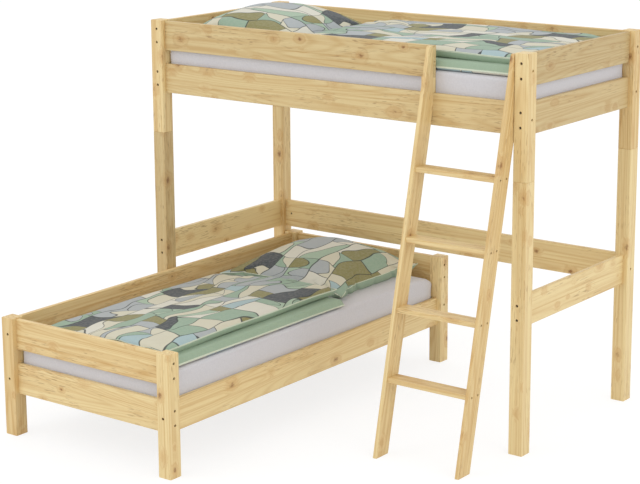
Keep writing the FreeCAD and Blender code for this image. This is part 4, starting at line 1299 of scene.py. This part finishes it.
def post_nook(node):
    """How far a post reaches into the mattress's corner, with a gap."""
    post = "loft_post_front_left" if node.startswith("loft") else "low_post_foot_left"
    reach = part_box(post)[1]
    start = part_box(node)[0]
    return max(reach.x - start.x, reach.y - start.y) + POST_GAP


# Stage

WHITE = (1, 1, 1, 1)
FLOOR_REACH = 30
FLOOR_ROUGHNESS = 0.9
FLOOR_GLOW = 1.12
FLOOR_GLOW_SHARE = 0.7
LAMP_AIM = Vector((0, 0, 0.8))
LAMP_SIZE = 4.0
KEY_PLACE = Vector((-2.5, -6.0, 5.5))
FILL_PLACE = Vector((6.5, -1.0, 4.0))

# The photograph's camera, as solved from the beds' corners: metres, radians, millimetres
CAMERA_PLACE = (4.9273, -6.4486, 2.8037)
CAMERA_YAW = 0.6515
CAMERA_PITCH = -0.2192
CAMERA_ROLL = -0.0058
CAMERA_LENS = 103.57
CAMERA_SHIFT = -0.06
CAMERA_SENSOR = 36
CAMERA_REACH = 200


class BED_OT_stage(bpy.types.Operator):
    """Floor, lamps and camera"""
    bl_idname = "bed.stage"
    bl_label = "Studio"

    def execute(self, context):
        settings = context.scene.bed_stage
        make_floor(settings)
        make_world(settings)
        make_lamps(settings)
        make_camera()
        context.scene.view_settings.view_transform = "Standard"
        return {"FINISHED"}


def make_floor(settings):
    """A wide pale floor that the camera sees as white, with the object's soft shadow."""
    bm = bmesh.new()
    bmesh.ops.create_grid(bm, x_segments=1, y_segments=1, size=FLOOR_REACH)
    floor = put_in_scene("floor", bm)
    material, tree, shader = new_material("pale floor")
    set_inputs(shader, {"Base Color": (*settings.floor_colour, 1),
                        "Roughness": FLOOR_ROUGHNESS})
    glow = tree.nodes.new("ShaderNodeEmission")
    set_inputs(glow, {"Color": WHITE, "Strength": FLOOR_GLOW})
    seen = math_node(tree, "MULTIPLY", background_rays(tree), FLOOR_GLOW_SHARE)
    mix_surface(tree, seen, shader, glow)
    floor.data.materials.append(material)


def mix_surface(tree, share, first, second):
    """Let a mix of two shaders be what the material or the world shows."""
    mix = tree.nodes.new("ShaderNodeMixShader")
    output = next(node for node in tree.nodes if node.type.startswith("OUTPUT"))
    tree.links.new(share, mix.inputs[0])
    tree.links.new(first.outputs[0], mix.inputs[1])
    tree.links.new(second.outputs[0], mix.inputs[2])
    tree.links.new(mix.outputs[0], output.inputs["Surface"])


def background_rays(tree):
    """1 where the camera looks at the background, straight or by way of metal or glass."""
    rays = tree.nodes.new("ShaderNodeLightPath")
    seen = math_node(tree, "MAXIMUM", rays.outputs["Is Camera Ray"],
                     rays.outputs["Is Glossy Ray"])
    return math_node(tree, "MAXIMUM", seen, rays.outputs["Is Transmission Ray"])


def make_world(settings):
    """Soft light from all round; the camera sees white."""
    world = bpy.data.worlds.new("studio")
    bpy.context.scene.world = world
    world.use_nodes = True
    tree = world.node_tree
    sky = next(node for node in tree.nodes if node.type == "BACKGROUND")
    set_inputs(sky, {"Color": WHITE, "Strength": settings.sky_strength})
    seen = tree.nodes.new("ShaderNodeBackground")
    set_inputs(seen, {"Color": WHITE, "Strength": 1.0})
    mix_surface(tree, background_rays(tree), sky, seen)


def make_lamps(settings):
    """A large key lamp from the front left above and a fill from the right."""
    for name, place, power in (("key", KEY_PLACE, settings.key_strength),
                               ("fill", FILL_PLACE, settings.fill_strength)):
        lamp = bpy.data.lights.new(name, "AREA")
        lamp.shape = "SQUARE"
        lamp.size = LAMP_SIZE
        lamp.energy = power
        holder = bpy.data.objects.new(name, lamp)
        holder.location = place
        holder.rotation_euler = (LAMP_AIM - place).to_track_quat("-Z", "Y").to_euler()
        bpy.context.scene.collection.objects.link(holder)


def make_camera():
    """The photograph's camera, as solved from the beds' corners."""
    ahead = Vector((-math.sin(CAMERA_YAW) * math.cos(CAMERA_PITCH),
                    math.cos(CAMERA_YAW) * math.cos(CAMERA_PITCH), math.sin(CAMERA_PITCH)))
    right = Vector((math.cos(CAMERA_YAW), math.sin(CAMERA_YAW), 0))
    up = right.cross(ahead)
    rolled_right = right * math.cos(CAMERA_ROLL) + up * math.sin(CAMERA_ROLL)
    rolled_up = up * math.cos(CAMERA_ROLL) - right * math.sin(CAMERA_ROLL)
    turn = Matrix((rolled_right, rolled_up, -ahead)).transposed()
    lens = bpy.data.cameras.new("camera")
    lens.sensor_width = CAMERA_SENSOR
    lens.lens = CAMERA_LENS
    lens.shift_y = CAMERA_SHIFT
    lens.clip_end = CAMERA_REACH
    camera = bpy.data.objects.new("camera", lens)
    camera.matrix_world = turn.to_4x4()
    camera.location = CAMERA_PLACE
    bpy.context.scene.collection.objects.link(camera)
    bpy.context.scene.camera = camera


# Panel and registration

class BED_PT_panel(bpy.types.Panel):
    """Every step of the bed's dressing"""
    bl_label = "Corner bunk bed"
    bl_space_type = "VIEW_3D"
    bl_region_type = "UI"
    bl_category = "Bunk bed"

    def draw(self, context):
        column = self.layout.column()
        for operator in OPERATORS:
            column.operator(operator.bl_idname)


SETTINGS = (("bed_pine", PineSettings), ("bed_bedding", BeddingSettings),
            ("bed_mattress", MattressSettings), ("bed_stage", StageSettings))
OPERATORS = (BED_OT_pine, BED_OT_hardware, BED_OT_mattresses, BED_OT_pillows, BED_OT_duvets,
             BED_OT_stage)


def register():
    for name, group in SETTINGS:
        bpy.utils.register_class(group)
        setattr(bpy.types.Scene, name, bpy.props.PointerProperty(type=group))
    for operator in OPERATORS:
        bpy.utils.register_class(operator)
    bpy.utils.register_class(BED_PT_panel)


def unregister():
    bpy.utils.unregister_class(BED_PT_panel)
    for operator in reversed(OPERATORS):
        bpy.utils.unregister_class(operator)
    for name, group in reversed(SETTINGS):
        delattr(bpy.types.Scene, name)
        bpy.utils.unregister_class(group)


def main():
    register()
    bpy.ops.bed.pine()
    bpy.ops.bed.hardware()
    bpy.ops.bed.mattresses()
    bpy.ops.bed.pillows()
    bpy.ops.bed.duvets()
    bpy.ops.bed.stage()


if __name__ == "__main__":
    main()
